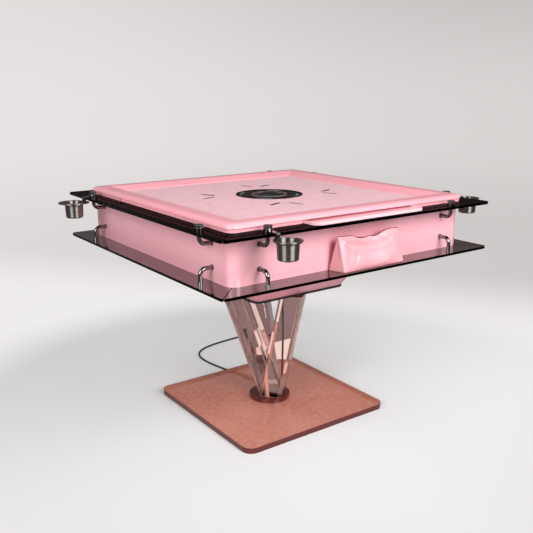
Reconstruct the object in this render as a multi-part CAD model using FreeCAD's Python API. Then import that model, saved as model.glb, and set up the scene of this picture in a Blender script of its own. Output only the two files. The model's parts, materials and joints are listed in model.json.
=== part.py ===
import FreeCAD, Part
import math
import os

os.makedirs("parts", exist_ok=True)
V = FreeCAD.Vector

# Automatic mahjong table on three leaning acrylic legs. Millimetres, +Z up.
# The origin is the point on the floor under the middle of the table. The front is the side at -Y.

# Four sides, as quarter turns from the front
SIDES = {"front": 0, "right": 1, "back": 2, "left": 3}
QUARTER_DEG = 90
EIGHTH_DEG = 45
OVERRUN = 5.0            # how far a cutting body runs past what it cuts
SEAT_GAP = 0.3           # gap between pieces that only rest on or beside each other
DIAGONAL_SHARE = 0.5 ** 0.5

# Base plate, hub and clamping disc
PLATE_SIDE = 582.0
PLATE_THICK = 18.0
PLATE_CORNER = 34.0
HUB_DIAMETER = 146.0
HUB_THICK = 12.0
CLAMP_DIAMETER = 100.0
CLAMP_THICK = 5.5
CLAMP_LIFT = 0.5         # the disc stays this far off the floor
CLAMP_STUD_DIAMETER = 8.0
CLAMP_STUD_CIRCLE = 70.0
CLAMP_STUDS = 4
STUD_CLEARANCE = 0.3

# Legs: square acrylic bars with bevelled edges that lean outwards from one point over the hub
LEG_WIDTH = 76.0
LEG_BEVEL = 8.0
LEG_RISE = 410.0         # from the hub to the chassis
LEG_MEET = 4.0           # height of the meeting point over the hub
LEG_MEET_X = 3.0
LEG_MEET_Y = -14.5
LEG_LEAN_SHARE = 0.352   # run outwards for each unit of height
LEG_AZIMUTHS = {"left": 172, "front": 262, "back": 82}
LEG_MITRE_AZIMUTH = 127

# Chassis: dark floor plate and flared tub under the lower glass
FLOOR_PLATE_SIDE = 368.0
FLOOR_PLATE_THICK = 6.0
FLOOR_PLATE_CORNER = 26.0
TUB_BOTTOM_SIDE = 362.0
TUB_TOP_SIDE = 548.0
TUB_BOTTOM_CORNER = 24.0
TUB_TOP_CORNER = 40.0
TUB_RISE = 150.0
TUB_WALL = 3.0
TUB_FLANGE_WIDTH = 14.0
TUB_FLANGE_THICK = 4.0

# Glass shelves: four mitred panels each
GLASS_SIDE = 1016.0
GLASS_THICK = 8.0
GLASS_CORNER = 15.0
MITRE_GAP = 3.0
LOWER_GLASS_OPENING = 572.0

# Body between the shelves
BODY_SIDE = 883.0
BODY_HEIGHT = 138.0
BODY_CORNER = 29.0
BODY_WALL = 4.0
NECK_INSET = 8.5

# Raised rim round the playing surface
RIM_SIDE = 900.0
RIM_CORNER = 27.0
RIM_FOOT_INSET = 4.0
RIM_FOOT_HEIGHT = 11.0
RIM_CROWN_HEIGHT = 12.0
RIM_BEVEL_RUN = 22.0
RIM_FLAT_WIDTH = 28.0
RIM_SLOPE_RUN = 38.0
RIM_LIP = 2.0
RIM_LEDGE_WIDTH = 12.0
RIM_LEDGE_THICK = 2.0
RIM_INNER_CORNER = 3.0
RIM_BEVEL_SHARES = ((0.0, 0.0), (0.13, 0.5), (0.46, 0.86), (1.0, 1.0))

# Playing board
BOARD_THICK = 6.0
FELT_DROP = 3.0          # the cloth lies this far under the foot of the rim's inner slope
CONSOLE_HOLE_CLEARANCE = 0.6

# Chip trays in the rim
TRAY_LENGTH = 422.0
TRAY_DEPTH = 83.0
TRAY_HEIGHT = 7.8
TRAY_WALL = 2.0
TRAY_FLOOR = 1.4
TRAY_FRONT_WALL = 6.0
TRAY_BEVEL = 3.0
TRAY_CORNER = 28.0       # rounding of the two front corners, seen from above
TRAY_CLEARANCE = 0.3
TRAY_SHELF = 1.2         # thickness of the rim under a tray
TRAY_OUT = 55.0          # how far the front tray is drawn out at rest

# Chrome brackets that hold the shelves
BRACKET_OFFSET = 352.0
BRACKET_REACH = 38.5     # from the body's wall to the middle of the post
BRACKET_TUBE_DIAMETER = 12.0
BRACKET_BEND = 18.0
UPPER_BRACKET_DROP = 31.0
LOWER_BRACKET_RISE = 40.0
BRACKET_COLLAR_DIAMETER = 15.0
BRACKET_COLLAR_THICK = 2.0
BRACKET_STUD_DIAMETER = 8.0
BRACKET_STUD_RISE = 12.0
CAP_NUT_DIAMETER = 25.0
CAP_NUT_HEIGHT = 14.0
CAP_NUT_CHAMFER = 1.5
CAP_NUT_GROOVE_HEIGHT = 2.5
CAP_NUT_GROOVE_DEPTH = 2.0
CAP_NUT_BORE_DEPTH = 12.5
GLASS_HOLE_CLEARANCE = 0.4

# Swinging arms and lift-out steel cups
ARM_THICK = 3.0
ARM_WIDTH = 16.0
ARM_EYE_DIAMETER = 30.0
ARM_LENGTH = 82.0        # from the post to the middle of the cup
ARM_CRANK = 41.0         # where the arm steps down beside the glass
ARM_CRANK_WIDTH = 3.0
ARM_DROP = 14.2
ARM_CLEARANCE = 0.3
ARM_BORE_CLEARANCE = 0.08
ARM_RING_WIDTH = 4.0
# how far each arm stands turned about its post, anticlockwise seen from above
ARM_TURN_DEG = {"front": 2, "right": -20, "back": 0, "left": 18}
CUP_MOUTH_DIAMETER = 59.0
CUP_BASE_DIAMETER = 55.0
CUP_FLANGE_DIAMETER = 76.0
CUP_FLANGE_THICK = 2.6
CUP_HEIGHT = 51.0
CUP_WALL = 1.2
CUP_BEAD = 5.0           # rounding of the cup's foot
CUP_RING_CLEARANCE = 0.5
CUP_BRIM_DIAMETER = 100.0  # the left cup has a wider brim, cut straight beside the glass
CUP_BRIM_CUT = 40.0      # from the middle of the cup to the straight edge

# Leather pouch that stands on the lower shelf
POUCH_WIDTH = 220.0
POUCH_CENTRE_X = 13.0
POUCH_DEPTH = 55.0
POUCH_HEIGHT = 100.0
POUCH_WALL = 2.5
POUCH_WALL_GAP = 3.0     # from the body's wall
POUCH_CORNER = 6.0
POUCH_MOUTH_DEPTH = 15.0
# height, width and depth of the sections, as shares of the height, the width and the depth
POUCH_SHARES = ((0.0, 0.96, 0.93), (0.09, 1.0, 1.0), (0.45, 1.0, 0.96), (0.78, 1.005, 0.62))
POUCH_MOUTH_WIDTH_SHARE = 1.01

# Machine base inside the body
BASE_SHEET_THICK = 4.0
BASE_CLEARANCE = 0.5
BASE_CORNER = 24.0
POST_WIDTH = 22.0
POST_OFFSET = 392.0
RUNNING_CLEARANCE = 0.08

# Tile lifts: four plates, flush with the cloth, on guide stems
LIFT_CORNER_GAP = 12.0   # between the ends of two slots at a corner
LIFT_WIDTH = 48.0
LIFT_INNER = 262.0       # from the middle of the table to the slot
LIFT_CLEARANCE = 0.4
LIFT_THICK = 5.0
LIFT_STEM_DIAMETER = 10.0
LIFT_STEM_OFFSET = 180.0
LIFT_STEM_LENGTH = 105.0
LIFT_TUBE_DIAMETER = 17.0
LIFT_TUBE_HEIGHT = 90.0

# Console in the middle, with its lifting post and sleeve
CONSOLE_DIAMETER = 220.0
CONSOLE_HEIGHT = 28.0
CONSOLE_WALL = 3.0
PANEL_THICK = 3.2
CONSOLE_POST_DIAMETER = 24.0
CONSOLE_POST_LENGTH = 110.0
BOWL_DIAMETER = 108.0
BOWL_WALL = 4.0
BOWL_DEPTH = 12.0
DOME_RISE = 9.0
DOME_THICK = 2.4
DOME_FLANGE = 2.0
DICE_SIZE = 11.0
DICE_SPREAD = 13.0
DICE_TURN_DEG = 24
DICE_EDGE = 1.0
SLEEVE_DIAMETER = 34.0
SLEEVE_HEIGHT = 100.0
SLEEVE_SHOULDER_DIAMETER = 46.0
SLEEVE_SHOULDER_HEIGHT = 20.0
SLEEVE_FLANGE_DIAMETER = 84.0
SLEEVE_FLANGE_THICK = 5.0
BUTTON_DIAMETER = 15.0
BUTTON_CIRCLE = 164.0
BUTTON_PROUD = 0.8
BUTTON_FLANGE = 1.6
BUTTON_CLEARANCE = 0.3
BUTTON_TRAVEL = 1.5

# Shuffling turntable and its belt drive
TURNTABLE_DIAMETER = 470.0
TURNTABLE_FLOOR = 3.0
TURNTABLE_RIM_HEIGHT = 14.0
TURNTABLE_RIM_WIDTH = 5.0
TURNTABLE_CONE_DIAMETER = 150.0
TURNTABLE_CONE_HEIGHT = 26.0
TURNTABLE_HUB_DIAMETER = 50.0
TURNTABLE_LIFT = 55.0    # floor of the dish over the machine base
TURNTABLE_PULLEY_DIAMETER = 180.0
PULLEY_WIDTH = 12.0
PULLEY_FLANGE = 3.0
DRIVE_PULLEY_DIAMETER = 40.0
DRIVE_DISTANCE = 170.0
DRIVE_AZIMUTH = 45
DRIVE_SHAFT_DIAMETER = 12.0
DRIVE_SHAFT_DEPTH = 40.0
MOTOR_DIAMETER = 88.0
MOTOR_LENGTH = 100.0
MOTOR_FLANGE = 108.0
MOTOR_FLANGE_THICK = 6.0
MOTOR_CAP_DIAMETER = 60.0
MOTOR_CAP_LENGTH = 14.0
BELT_THICK = 4.0
BELT_WIDTH = 8.0
BELT_GAP = 0.3

# Electrics
SUPPLY_LENGTH = 130.0
SUPPLY_WIDTH = 84.0
SUPPLY_HEIGHT = 46.0
SUPPLY_X = -62.0
SUPPLY_Y = -62.0
SUPPLY_FINS = 9
SUPPLY_FIN_DEPTH = 6.0
CARD_LENGTH = 150.0
CARD_WIDTH = 104.0
CARD_THICK = 2.0
CARD_STANDOFF = 8.0
CARD_STANDOFF_DIAMETER = 8.0
CARD_X = -300.0
CARD_Y = 320.0
CARD_CHIP_HEIGHT = 10.0

# Cord
CORD_DIAMETER = 7.0
CORD_GROOVE_CLEARANCE = 1.0
GLAND_LENGTH = 30.0
GLAND_FLANGE_DIAMETER = 24.0
GLAND_FLANGE_THICK = 4.0
GLAND_TOP_DIAMETER = 17.0
GLAND_TIP_DIAMETER = 10.0
COIL_X = 362.0
COIL_Y = 652.0
COIL_OUTER_RADIUS = 46.0
COIL_PITCH = 7.9
COIL_TURNS = 5.0
COIL_CLIMB_TURNS = 0.5
COIL_END_TURN = 0.15     # the last turn runs on this far
PLUG_LENGTH = 38.0
PLUG_WIDTH = 27.0
PLUG_RELIEF_LENGTH = 24.0
PLUG_RELIEF_DIAMETER = 11.0
PLUG_PIN_LENGTH = 18.0
PLUG_PIN_WIDTH = 6.3
PLUG_PIN_THICK = 1.8
PLUG_PIN_SPREAD = 6.5
PLUG_PIN_TURN_DEG = 30

# Levels that follow from the sizes
HUB_BOTTOM = PLATE_THICK
HUB_TOP = HUB_BOTTOM + HUB_THICK
LEG_TOP = HUB_TOP + LEG_RISE
TUB_BOTTOM = LEG_TOP + FLOOR_PLATE_THICK
LOWER_GLASS_TOP = TUB_BOTTOM + TUB_RISE
LOWER_GLASS_BOTTOM = LOWER_GLASS_TOP - GLASS_THICK
BODY_BOTTOM = LOWER_GLASS_TOP
UPPER_GLASS_BOTTOM = BODY_BOTTOM + BODY_HEIGHT
UPPER_GLASS_TOP = UPPER_GLASS_BOTTOM + GLASS_THICK
RIM_FOOT_TOP = UPPER_GLASS_TOP + RIM_FOOT_HEIGHT
RIM_TOP = RIM_FOOT_TOP + RIM_CROWN_HEIGHT
FELT_LEVEL = RIM_FOOT_TOP - FELT_DROP
BOARD_BOTTOM = FELT_LEVEL - BOARD_THICK
BASE_TOP = BODY_BOTTOM + BASE_SHEET_THICK
PANEL_BOTTOM = FELT_LEVEL - PANEL_THICK
CONSOLE_BOTTOM = FELT_LEVEL - CONSOLE_HEIGHT
TURNTABLE_LEVEL = BASE_TOP + TURNTABLE_LIFT
PULLEY_BOTTOM = TURNTABLE_LEVEL - PULLEY_WIDTH - PULLEY_FLANGE

# Plan sizes that follow
BODY_HALF = BODY_SIDE / 2
NECK_HALF = BODY_HALF - NECK_INSET
RIM_HALF = RIM_SIDE / 2
SLOPE_TOP_HALF = RIM_HALF - RIM_BEVEL_RUN - RIM_FLAT_WIDTH
SLOPE_FOOT_HALF = SLOPE_TOP_HALF - RIM_SLOPE_RUN
OPENING_HALF = SLOPE_FOOT_HALF - RIM_LIP
POST_LINE = BODY_HALF + BRACKET_REACH
LIFT_LENGTH = 2 * (LIFT_INNER - LIFT_CORNER_GAP)
CORD_RADIUS = CORD_DIAMETER / 2
CORD_LEVEL = CORD_RADIUS + 0.5 * CORD_GROOVE_CLEARANCE
COIL_HEIGHT_STEP = COIL_PITCH


def rounded_rectangle(half_x, half_y, radius, level, centre_x=0, centre_y=0):
    """A closed wire: a rectangle with rounded corners, at one level."""
    r = min(radius, half_x, half_y)
    slant = r * (1 - math.sqrt(0.5))
    edges = []
    corners = ((1, 1), (-1, 1), (-1, -1), (1, -1))
    ends = []
    for sx, sy in corners:
        outer = V(centre_x + sx * half_x, centre_y + sy * half_y, level)
        on_x = outer - V(sx * r, 0, 0)
        on_y = outer - V(0, sy * r, 0)
        middle = outer - V(sx * slant, sy * slant, 0)
        first, last = (on_y, on_x) if sx * sy > 0 else (on_x, on_y)
        ends.append((first, middle, last))
    for index, (first, middle, last) in enumerate(ends):
        edges.append(Part.Arc(first, middle, last).toShape())
        edges.append(Part.LineSegment(last, ends[(index + 1) % len(ends)][0]).toShape())
    return Part.Wire(edges)


def rounded_square(half, radius, level):
    return rounded_rectangle(half, half, radius, level)


def slab(half, radius, bottom, top):
    """A flat square body with rounded corners, centred on the table's axis."""
    return Part.Face(rounded_square(half, radius, bottom)).extrude(V(0, 0, top - bottom))


def block(x0, x1, y0, y1, z0, z1):
    return Part.makeBox(x1 - x0, y1 - y0, z1 - z0, V(x0, y0, z0))


def disc(radius, bottom, top, x=0, y=0):
    return Part.makeCylinder(radius, top - bottom, V(x, y, bottom))


def turned(outline, x=0, y=0):
    """A body of revolution from radius and height pairs, round an upright axis."""
    points = [V(r, 0, z) for r, z in outline]
    face = Part.Face(Part.makePolygon(points + [points[0]]))
    solid = face.revolve(V(0, 0, 0), V(0, 0, 1), 4 * QUARTER_DEG)
    solid.translate(V(x, y, 0))
    return solid


def turned_to(shape, side):
    """A copy of a front piece, turned to one of the four sides."""
    copy = shape.copy()
    copy.rotate(V(0, 0, 0), V(0, 0, 1), QUARTER_DEG * SIDES[side])
    return copy


def on_each_side(shape):
    return [turned_to(shape, side) for side in SIDES]


def cut_all(shape, cutters):
    for cutter in cutters:
        shape = shape.cut(cutter)
    return shape


def fuse_all(shapes):
    whole = shapes[0]
    for shape in shapes[1:]:
        whole = whole.fuse(shape)
    return whole.removeSplitter()


def largest(shape):
    return max(shape.Solids, key=lambda solid: solid.Volume)


def swept_circle(edges, radius, start, direction):
    """A round bar along a chain of tangent edges."""
    spine = Part.Wire(edges)
    ring = Part.Wire([Part.Circle(start, direction, radius).toShape()])
    pipe = Part.BRepOffsetAPI.MakePipeShell(spine)
    pipe.add(ring)
    pipe.build()
    pipe.makeSolid()
    return pipe.shape()


def write(name, shape):
    shape.exportStep("parts/" + name + ".step")
    count = len(shape.Solids)
    print(name, "solids", count, "volume", round(shape.Volume), "valid", shape.isValid())


# Foot

def cable_slot(bottom, top, points, width):
    """A slot with round ends that follows a chain of points seen from above."""
    pieces = []
    for x, y in points:
        pieces.append(disc(width / 2, bottom, top, x, y))
    for (x0, y0), (x1, y1) in zip(points, points[1:]):
        length = math.hypot(x1 - x0, y1 - y0)
        run = block(0, length, -width / 2, width / 2, bottom, top)
        run.rotate(V(0, 0, 0), V(0, 0, 1), math.degrees(math.atan2(y1 - y0, x1 - x0)))
        run.translate(V(x0, y0, 0))
        pieces.append(run)
    return fuse_all(pieces)


def stud_places():
    places = []
    for index in range(CLAMP_STUDS):
        angle = 2 * math.pi * (index + 0.5) / CLAMP_STUDS
        places.append((CLAMP_STUD_CIRCLE / 2 * math.cos(angle), CLAMP_STUD_CIRCLE / 2 * math.sin(angle)))
    return places


def base_plate():
    plate = slab(PLATE_SIDE / 2, PLATE_CORNER, 0, PLATE_THICK)
    seat = disc(CLAMP_DIAMETER / 2 + STUD_CLEARANCE, -OVERRUN, CLAMP_LIFT + CLAMP_THICK)
    holes = [disc(CLAMP_STUD_DIAMETER / 2 + STUD_CLEARANCE, 0, PLATE_THICK + OVERRUN, x, y)
             for x, y in stud_places()]
    width = CORD_DIAMETER + 2 * CORD_GROOVE_CLEARANCE
    top = CORD_LEVEL + width / 2
    under = [point for point in CORD_ROUTE if point[2] < PLATE_THICK and point[1] < PLATE_SIDE / 2]
    beyond = CORD_ROUTE[CORD_ROUTE.index(under[-1]) + 1]
    groove = cable_slot(-OVERRUN, top, [point[:2] for point in under + [beyond]], width)
    drop = cable_slot(-OVERRUN, PLATE_THICK + OVERRUN, DROP_SLOT, width)
    return cut_all(plate, [seat, groove, drop] + holes)


def hub_flange():
    hub = disc(HUB_DIAMETER / 2, HUB_BOTTOM, HUB_TOP)
    width = CORD_DIAMETER + 2 * CORD_GROOVE_CLEARANCE
    holes = [disc(CLAMP_STUD_DIAMETER / 2 + STUD_CLEARANCE, HUB_BOTTOM - OVERRUN, HUB_BOTTOM + HUB_THICK / 2, x, y)
             for x, y in stud_places()]
    slot = cable_slot(HUB_BOTTOM - OVERRUN, HUB_TOP + OVERRUN, DROP_SLOT, width)
    return cut_all(hub, [slot] + holes)


def hub_clamp_disc():
    pieces = [disc(CLAMP_DIAMETER / 2, CLAMP_LIFT, CLAMP_LIFT + CLAMP_THICK)]
    for x, y in stud_places():
        pieces.append(disc(CLAMP_STUD_DIAMETER / 2, CLAMP_LIFT, HUB_BOTTOM + HUB_THICK / 2, x, y))
    return fuse_all(pieces)


def leg_bar(azimuth):
    """A bar with one corner outwards, longer than the leg at both ends."""
    corner = LEG_WIDTH * DIAGONAL_SHARE
    bevel = LEG_BEVEL * DIAGONAL_SHARE
    outline = []
    for quarter in range(len(SIDES)):
        angle = quarter * math.pi / 2
        along = V(math.cos(angle), math.sin(angle), 0)
        across = V(-math.sin(angle), math.cos(angle), 0)
        outline.append(along * (corner - bevel) - across * bevel)
        outline.append(along * (corner - bevel) + across * bevel)
    reach = LEG_RISE + LEG_WIDTH
    bar = Part.Face(Part.makePolygon(outline + [outline[0]])).extrude(V(0, 0, 2 * reach))
    bar.translate(V(0, 0, -reach / 2))
    bar.rotate(V(0, 0, 0), V(0, 1, 0), math.degrees(math.atan(LEG_LEAN_SHARE)))
    bar.rotate(V(0, 0, 0), V(0, 0, 1), azimuth)
    bar.translate(V(LEG_MEET_X, LEG_MEET_Y, HUB_TOP + LEG_MEET))
    room = disc(GLASS_SIDE, HUB_TOP, LEG_TOP)
    return bar.common(room)


def half_space(azimuth):
    """Everything on the left of an upright plane through the meeting point."""
    room = block(-GLASS_SIDE, GLASS_SIDE, 0, GLASS_SIDE, 0, LEG_TOP + OVERRUN)
    room.rotate(V(0, 0, 0), V(0, 0, 1), azimuth)
    room.translate(V(LEG_MEET_X, LEG_MEET_Y, 0))
    return room


def legs():
    front = leg_bar(LEG_AZIMUTHS["front"])
    left = leg_bar(LEG_AZIMUTHS["left"]).cut(front).common(half_space(LEG_MITRE_AZIMUTH))
    back = leg_bar(LEG_AZIMUTHS["back"]).cut(front).cut(half_space(LEG_MITRE_AZIMUTH))
    return {"leg_front": front, "leg_left": largest(left), "leg_back": largest(back)}


# Chassis

def chassis_floor_plate():
    return slab(FLOOR_PLATE_SIDE / 2, FLOOR_PLATE_CORNER, LEG_TOP, TUB_BOTTOM)


def flared(inset, bottom_extra, top_extra):
    """The tub's flared form, drawn in by a wall and run on past its ends."""
    slope = (TUB_TOP_SIDE - TUB_BOTTOM_SIDE) / 2 / TUB_RISE
    sections = []
    for level, half, radius, extra in (
            (TUB_BOTTOM, TUB_BOTTOM_SIDE / 2, TUB_BOTTOM_CORNER, -bottom_extra),
            (LOWER_GLASS_TOP, TUB_TOP_SIDE / 2, TUB_TOP_CORNER, top_extra)):
        sections.append(rounded_square(half - inset + slope * extra, radius - inset, level + extra))
    return Part.makeLoft(sections, True, True)


def chassis_tub():
    shell = flared(0, 0, 0).cut(flared(TUB_WALL, OVERRUN, OVERRUN))
    half = TUB_TOP_SIDE / 2 - TUB_WALL
    radius = TUB_TOP_CORNER - TUB_WALL
    flange = slab(half, radius, LOWER_GLASS_TOP - TUB_FLANGE_THICK, LOWER_GLASS_TOP)
    hole = slab(half - TUB_FLANGE_WIDTH, radius - TUB_FLANGE_WIDTH,
                LOWER_GLASS_TOP - TUB_FLANGE_THICK - OVERRUN, LOWER_GLASS_TOP + OVERRUN)
    return fuse_all([shell, flange.common(flared(0, 0, 0)).cut(hole)])


# Glass shelves

def mitre_wedge(bottom, top):
    """The front quarter of the plan, short of the diagonals by half the mitre gap."""
    back_off = MITRE_GAP * DIAGONAL_SHARE
    reach = GLASS_SIDE
    points = [V(0, -back_off, bottom), V(-reach, -reach - back_off, bottom), V(reach, -reach - back_off, bottom)]
    return Part.Face(Part.makePolygon(points + [points[0]])).extrude(V(0, 0, top - bottom))


def glass_panel(bottom, opening_half):
    top = bottom + GLASS_THICK
    whole = slab(GLASS_SIDE / 2, GLASS_CORNER, bottom, top)
    hole = slab(opening_half, GLASS_CORNER, bottom - OVERRUN, top + OVERRUN)
    return whole.cut(hole).common(mitre_wedge(bottom, top))


def upper_glass_panel():
    panel = glass_panel(UPPER_GLASS_BOTTOM, NECK_HALF + SEAT_GAP)
    for x in (-BRACKET_OFFSET, BRACKET_OFFSET):
        radius = BRACKET_STUD_DIAMETER / 2 + GLASS_HOLE_CLEARANCE
        panel = panel.cut(disc(radius, UPPER_GLASS_BOTTOM - OVERRUN, UPPER_GLASS_TOP + OVERRUN, x, -POST_LINE))
    return panel


def lower_glass_panel():
    return glass_panel(LOWER_GLASS_BOTTOM, LOWER_GLASS_OPENING / 2)


# Body, rim and board

def body_housing():
    neck_top = UPPER_GLASS_TOP - SEAT_GAP
    neck_corner = BODY_CORNER - NECK_INSET
    outside = slab(BODY_HALF, BODY_CORNER, BODY_BOTTOM, UPPER_GLASS_BOTTOM)
    neck = slab(NECK_HALF, neck_corner, UPPER_GLASS_BOTTOM, neck_top)
    inside = slab(BODY_HALF - BODY_WALL, BODY_CORNER - BODY_WALL, BODY_BOTTOM - OVERRUN, UPPER_GLASS_BOTTOM - BODY_WALL)
    neck_inside = slab(NECK_HALF - BODY_WALL, neck_corner - BODY_WALL, BODY_BOTTOM, neck_top + OVERRUN)
    return cut_all(fuse_all([outside, neck]), [inside, neck_inside])


def tray_room():
    """The space in the rim behind one tray's mouth, with its clearance."""
    half = TRAY_LENGTH / 2 + TRAY_CLEARANCE
    back = RIM_HALF - TRAY_DEPTH - 2 * TRAY_CLEARANCE
    bottom = UPPER_GLASS_TOP + TRAY_SHELF
    return block(-half, half, -RIM_HALF - OVERRUN, -back, bottom, bottom + TRAY_HEIGHT + 2 * TRAY_CLEARANCE)


def top_frame():
    foot = slab(RIM_HALF - RIM_FOOT_INSET, RIM_CORNER - RIM_FOOT_INSET, UPPER_GLASS_TOP, RIM_FOOT_TOP)
    sections = []
    for run_share, rise_share in RIM_BEVEL_SHARES:
        half = RIM_HALF - run_share * RIM_BEVEL_RUN
        sections.append(rounded_square(half, RIM_CORNER - run_share * RIM_BEVEL_RUN / 2,
                                       RIM_FOOT_TOP + rise_share * RIM_CROWN_HEIGHT))
    crown = Part.makeLoft(sections, True, False)
    grow = RIM_SLOPE_RUN / RIM_CROWN_HEIGHT
    slope = Part.makeLoft([
        rounded_square(SLOPE_FOOT_HALF, RIM_INNER_CORNER, RIM_FOOT_TOP),
        rounded_square(SLOPE_TOP_HALF + grow * OVERRUN, RIM_INNER_CORNER, RIM_TOP + OVERRUN)], True, True)
    opening = slab(OPENING_HALF, RIM_INNER_CORNER, BOARD_BOTTOM, RIM_FOOT_TOP + OVERRUN / 2)
    ledge_hole = slab(OPENING_HALF - RIM_LEDGE_WIDTH, RIM_INNER_CORNER, UPPER_GLASS_TOP - OVERRUN, BOARD_BOTTOM + OVERRUN)
    frame = foot.fuse(crown)
    return cut_all(frame, [slope, opening, ledge_hole] + on_each_side(tray_room()))


def lift_slot(clearance):
    half = LIFT_LENGTH / 2 + clearance
    return (-half, half, -LIFT_INNER - LIFT_WIDTH - clearance, -LIFT_INNER + clearance)


def playing_board():
    board = slab(OPENING_HALF - SEAT_GAP, RIM_INNER_CORNER, BOARD_BOTTOM, FELT_LEVEL)
    hole = disc(CONSOLE_DIAMETER / 2 + CONSOLE_HOLE_CLEARANCE, BOARD_BOTTOM - OVERRUN, FELT_LEVEL + OVERRUN)
    slot = block(*lift_slot(LIFT_CLEARANCE), BOARD_BOTTOM - OVERRUN, FELT_LEVEL + OVERRUN)
    return cut_all(board, [hole] + on_each_side(slot))


def tray_form(inset, bottom, top):
    """A body that is square at the back and rounded at the two front corners, seen from above."""
    half_x = TRAY_LENGTH / 2 - inset
    half_y = TRAY_DEPTH / 2 - inset
    centre = -RIM_HALF + TRAY_DEPTH / 2
    plan = Part.Face(rounded_rectangle(half_x, half_y, TRAY_CORNER - inset, bottom, 0, centre))
    rear = block(-half_x, half_x, centre, centre + half_y, bottom, top)
    return plan.extrude(V(0, 0, top - bottom)).fuse(rear).removeSplitter()


def chip_tray():
    """The front tray, pushed home."""
    half = TRAY_LENGTH / 2
    front = -RIM_HALF
    bottom = UPPER_GLASS_TOP + TRAY_SHELF + TRAY_CLEARANCE
    top = bottom + TRAY_HEIGHT
    body = tray_form(0, bottom, top)
    front_wall = block(-half, half, front, front + TRAY_FRONT_WALL, bottom, top + OVERRUN)
    room = tray_form(TRAY_WALL, bottom + TRAY_FLOOR, top + OVERRUN).cut(front_wall)
    nose = [V(-half - OVERRUN, front, top - TRAY_BEVEL), V(-half - OVERRUN, front + TRAY_BEVEL, top),
            V(-half - OVERRUN, front, top)]
    bevel = Part.Face(Part.makePolygon(nose + [nose[0]])).extrude(V(TRAY_LENGTH + 2 * OVERRUN, 0, 0))
    return cut_all(body, [room, bevel])


# Brackets, nuts, arms and cups

def bracket(start_level, turn, end_level):
    """A bent tube from the body's wall to a shelf. turn is 1 where it bends up and -1 where it bends down."""
    x = BRACKET_OFFSET
    slant = BRACKET_BEND * math.sqrt(0.5)
    wall = V(x, -BODY_HALF, start_level)
    bend_in = V(x, -POST_LINE + BRACKET_BEND, start_level)
    bend_out = V(x, -POST_LINE, start_level + turn * BRACKET_BEND)
    middle = V(x, -POST_LINE + BRACKET_BEND - slant, start_level + turn * (BRACKET_BEND - slant))
    end = V(x, -POST_LINE, end_level)
    edges = [Part.LineSegment(wall, bend_in).toShape(), Part.Arc(bend_in, middle, bend_out).toShape(),
             Part.LineSegment(bend_out, end).toShape()]
    tube = swept_circle(edges, BRACKET_TUBE_DIAMETER / 2, wall, V(0, -1, 0))
    rosette = Part.makeCylinder(BRACKET_COLLAR_DIAMETER / 2, BRACKET_COLLAR_THICK, wall, V(0, -1, 0))
    collar = Part.makeCylinder(BRACKET_COLLAR_DIAMETER / 2, BRACKET_COLLAR_THICK, end, V(0, 0, -turn))
    return [tube, rosette, collar]


def both_ends(shape):
    """The piece and its copy at the other end of the same side."""
    copy = shape.copy()
    copy.translate(V(-2 * BRACKET_OFFSET, 0, 0))
    return [shape, copy]


def upper_brackets():
    pieces = bracket(UPPER_GLASS_BOTTOM - UPPER_BRACKET_DROP, 1, UPPER_GLASS_BOTTOM)
    pieces.append(disc(BRACKET_STUD_DIAMETER / 2, UPPER_GLASS_BOTTOM, UPPER_GLASS_TOP + BRACKET_STUD_RISE,
                       BRACKET_OFFSET, -POST_LINE))
    one = fuse_all(pieces)
    return Part.makeCompound([copy for end in both_ends(one) for copy in on_each_side(end)])


def lower_brackets():
    one = fuse_all(bracket(LOWER_GLASS_TOP + LOWER_BRACKET_RISE, -1, LOWER_GLASS_TOP))
    return Part.makeCompound([copy for end in both_ends(one) for copy in on_each_side(end)])


def cap_nut(bottom, x):
    radius = CAP_NUT_DIAMETER / 2
    bore = BRACKET_STUD_DIAMETER / 2 + STUD_CLEARANCE / 2
    roof = bottom + CAP_NUT_BORE_DEPTH
    top = bottom + CAP_NUT_HEIGHT
    waist = radius - CAP_NUT_GROOVE_DEPTH
    low = bottom + (CAP_NUT_HEIGHT - CAP_NUT_GROOVE_HEIGHT) / 2
    high = low + CAP_NUT_GROOVE_HEIGHT
    outline = [(bore, bottom), (radius, bottom), (radius, low), (waist, low), (waist, high), (radius, high),
               (radius, top - CAP_NUT_CHAMFER), (radius - CAP_NUT_CHAMFER, top), (0, top), (0, roof), (bore, roof)]
    return turned(outline, x, -POST_LINE)


def bracket_cap_nuts():
    over_arm = cap_nut(UPPER_GLASS_TOP + ARM_THICK + 2 * ARM_CLEARANCE, -BRACKET_OFFSET)
    plain = cap_nut(UPPER_GLASS_TOP, BRACKET_OFFSET)
    return Part.makeCompound(on_each_side(over_arm) + on_each_side(plain))


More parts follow.
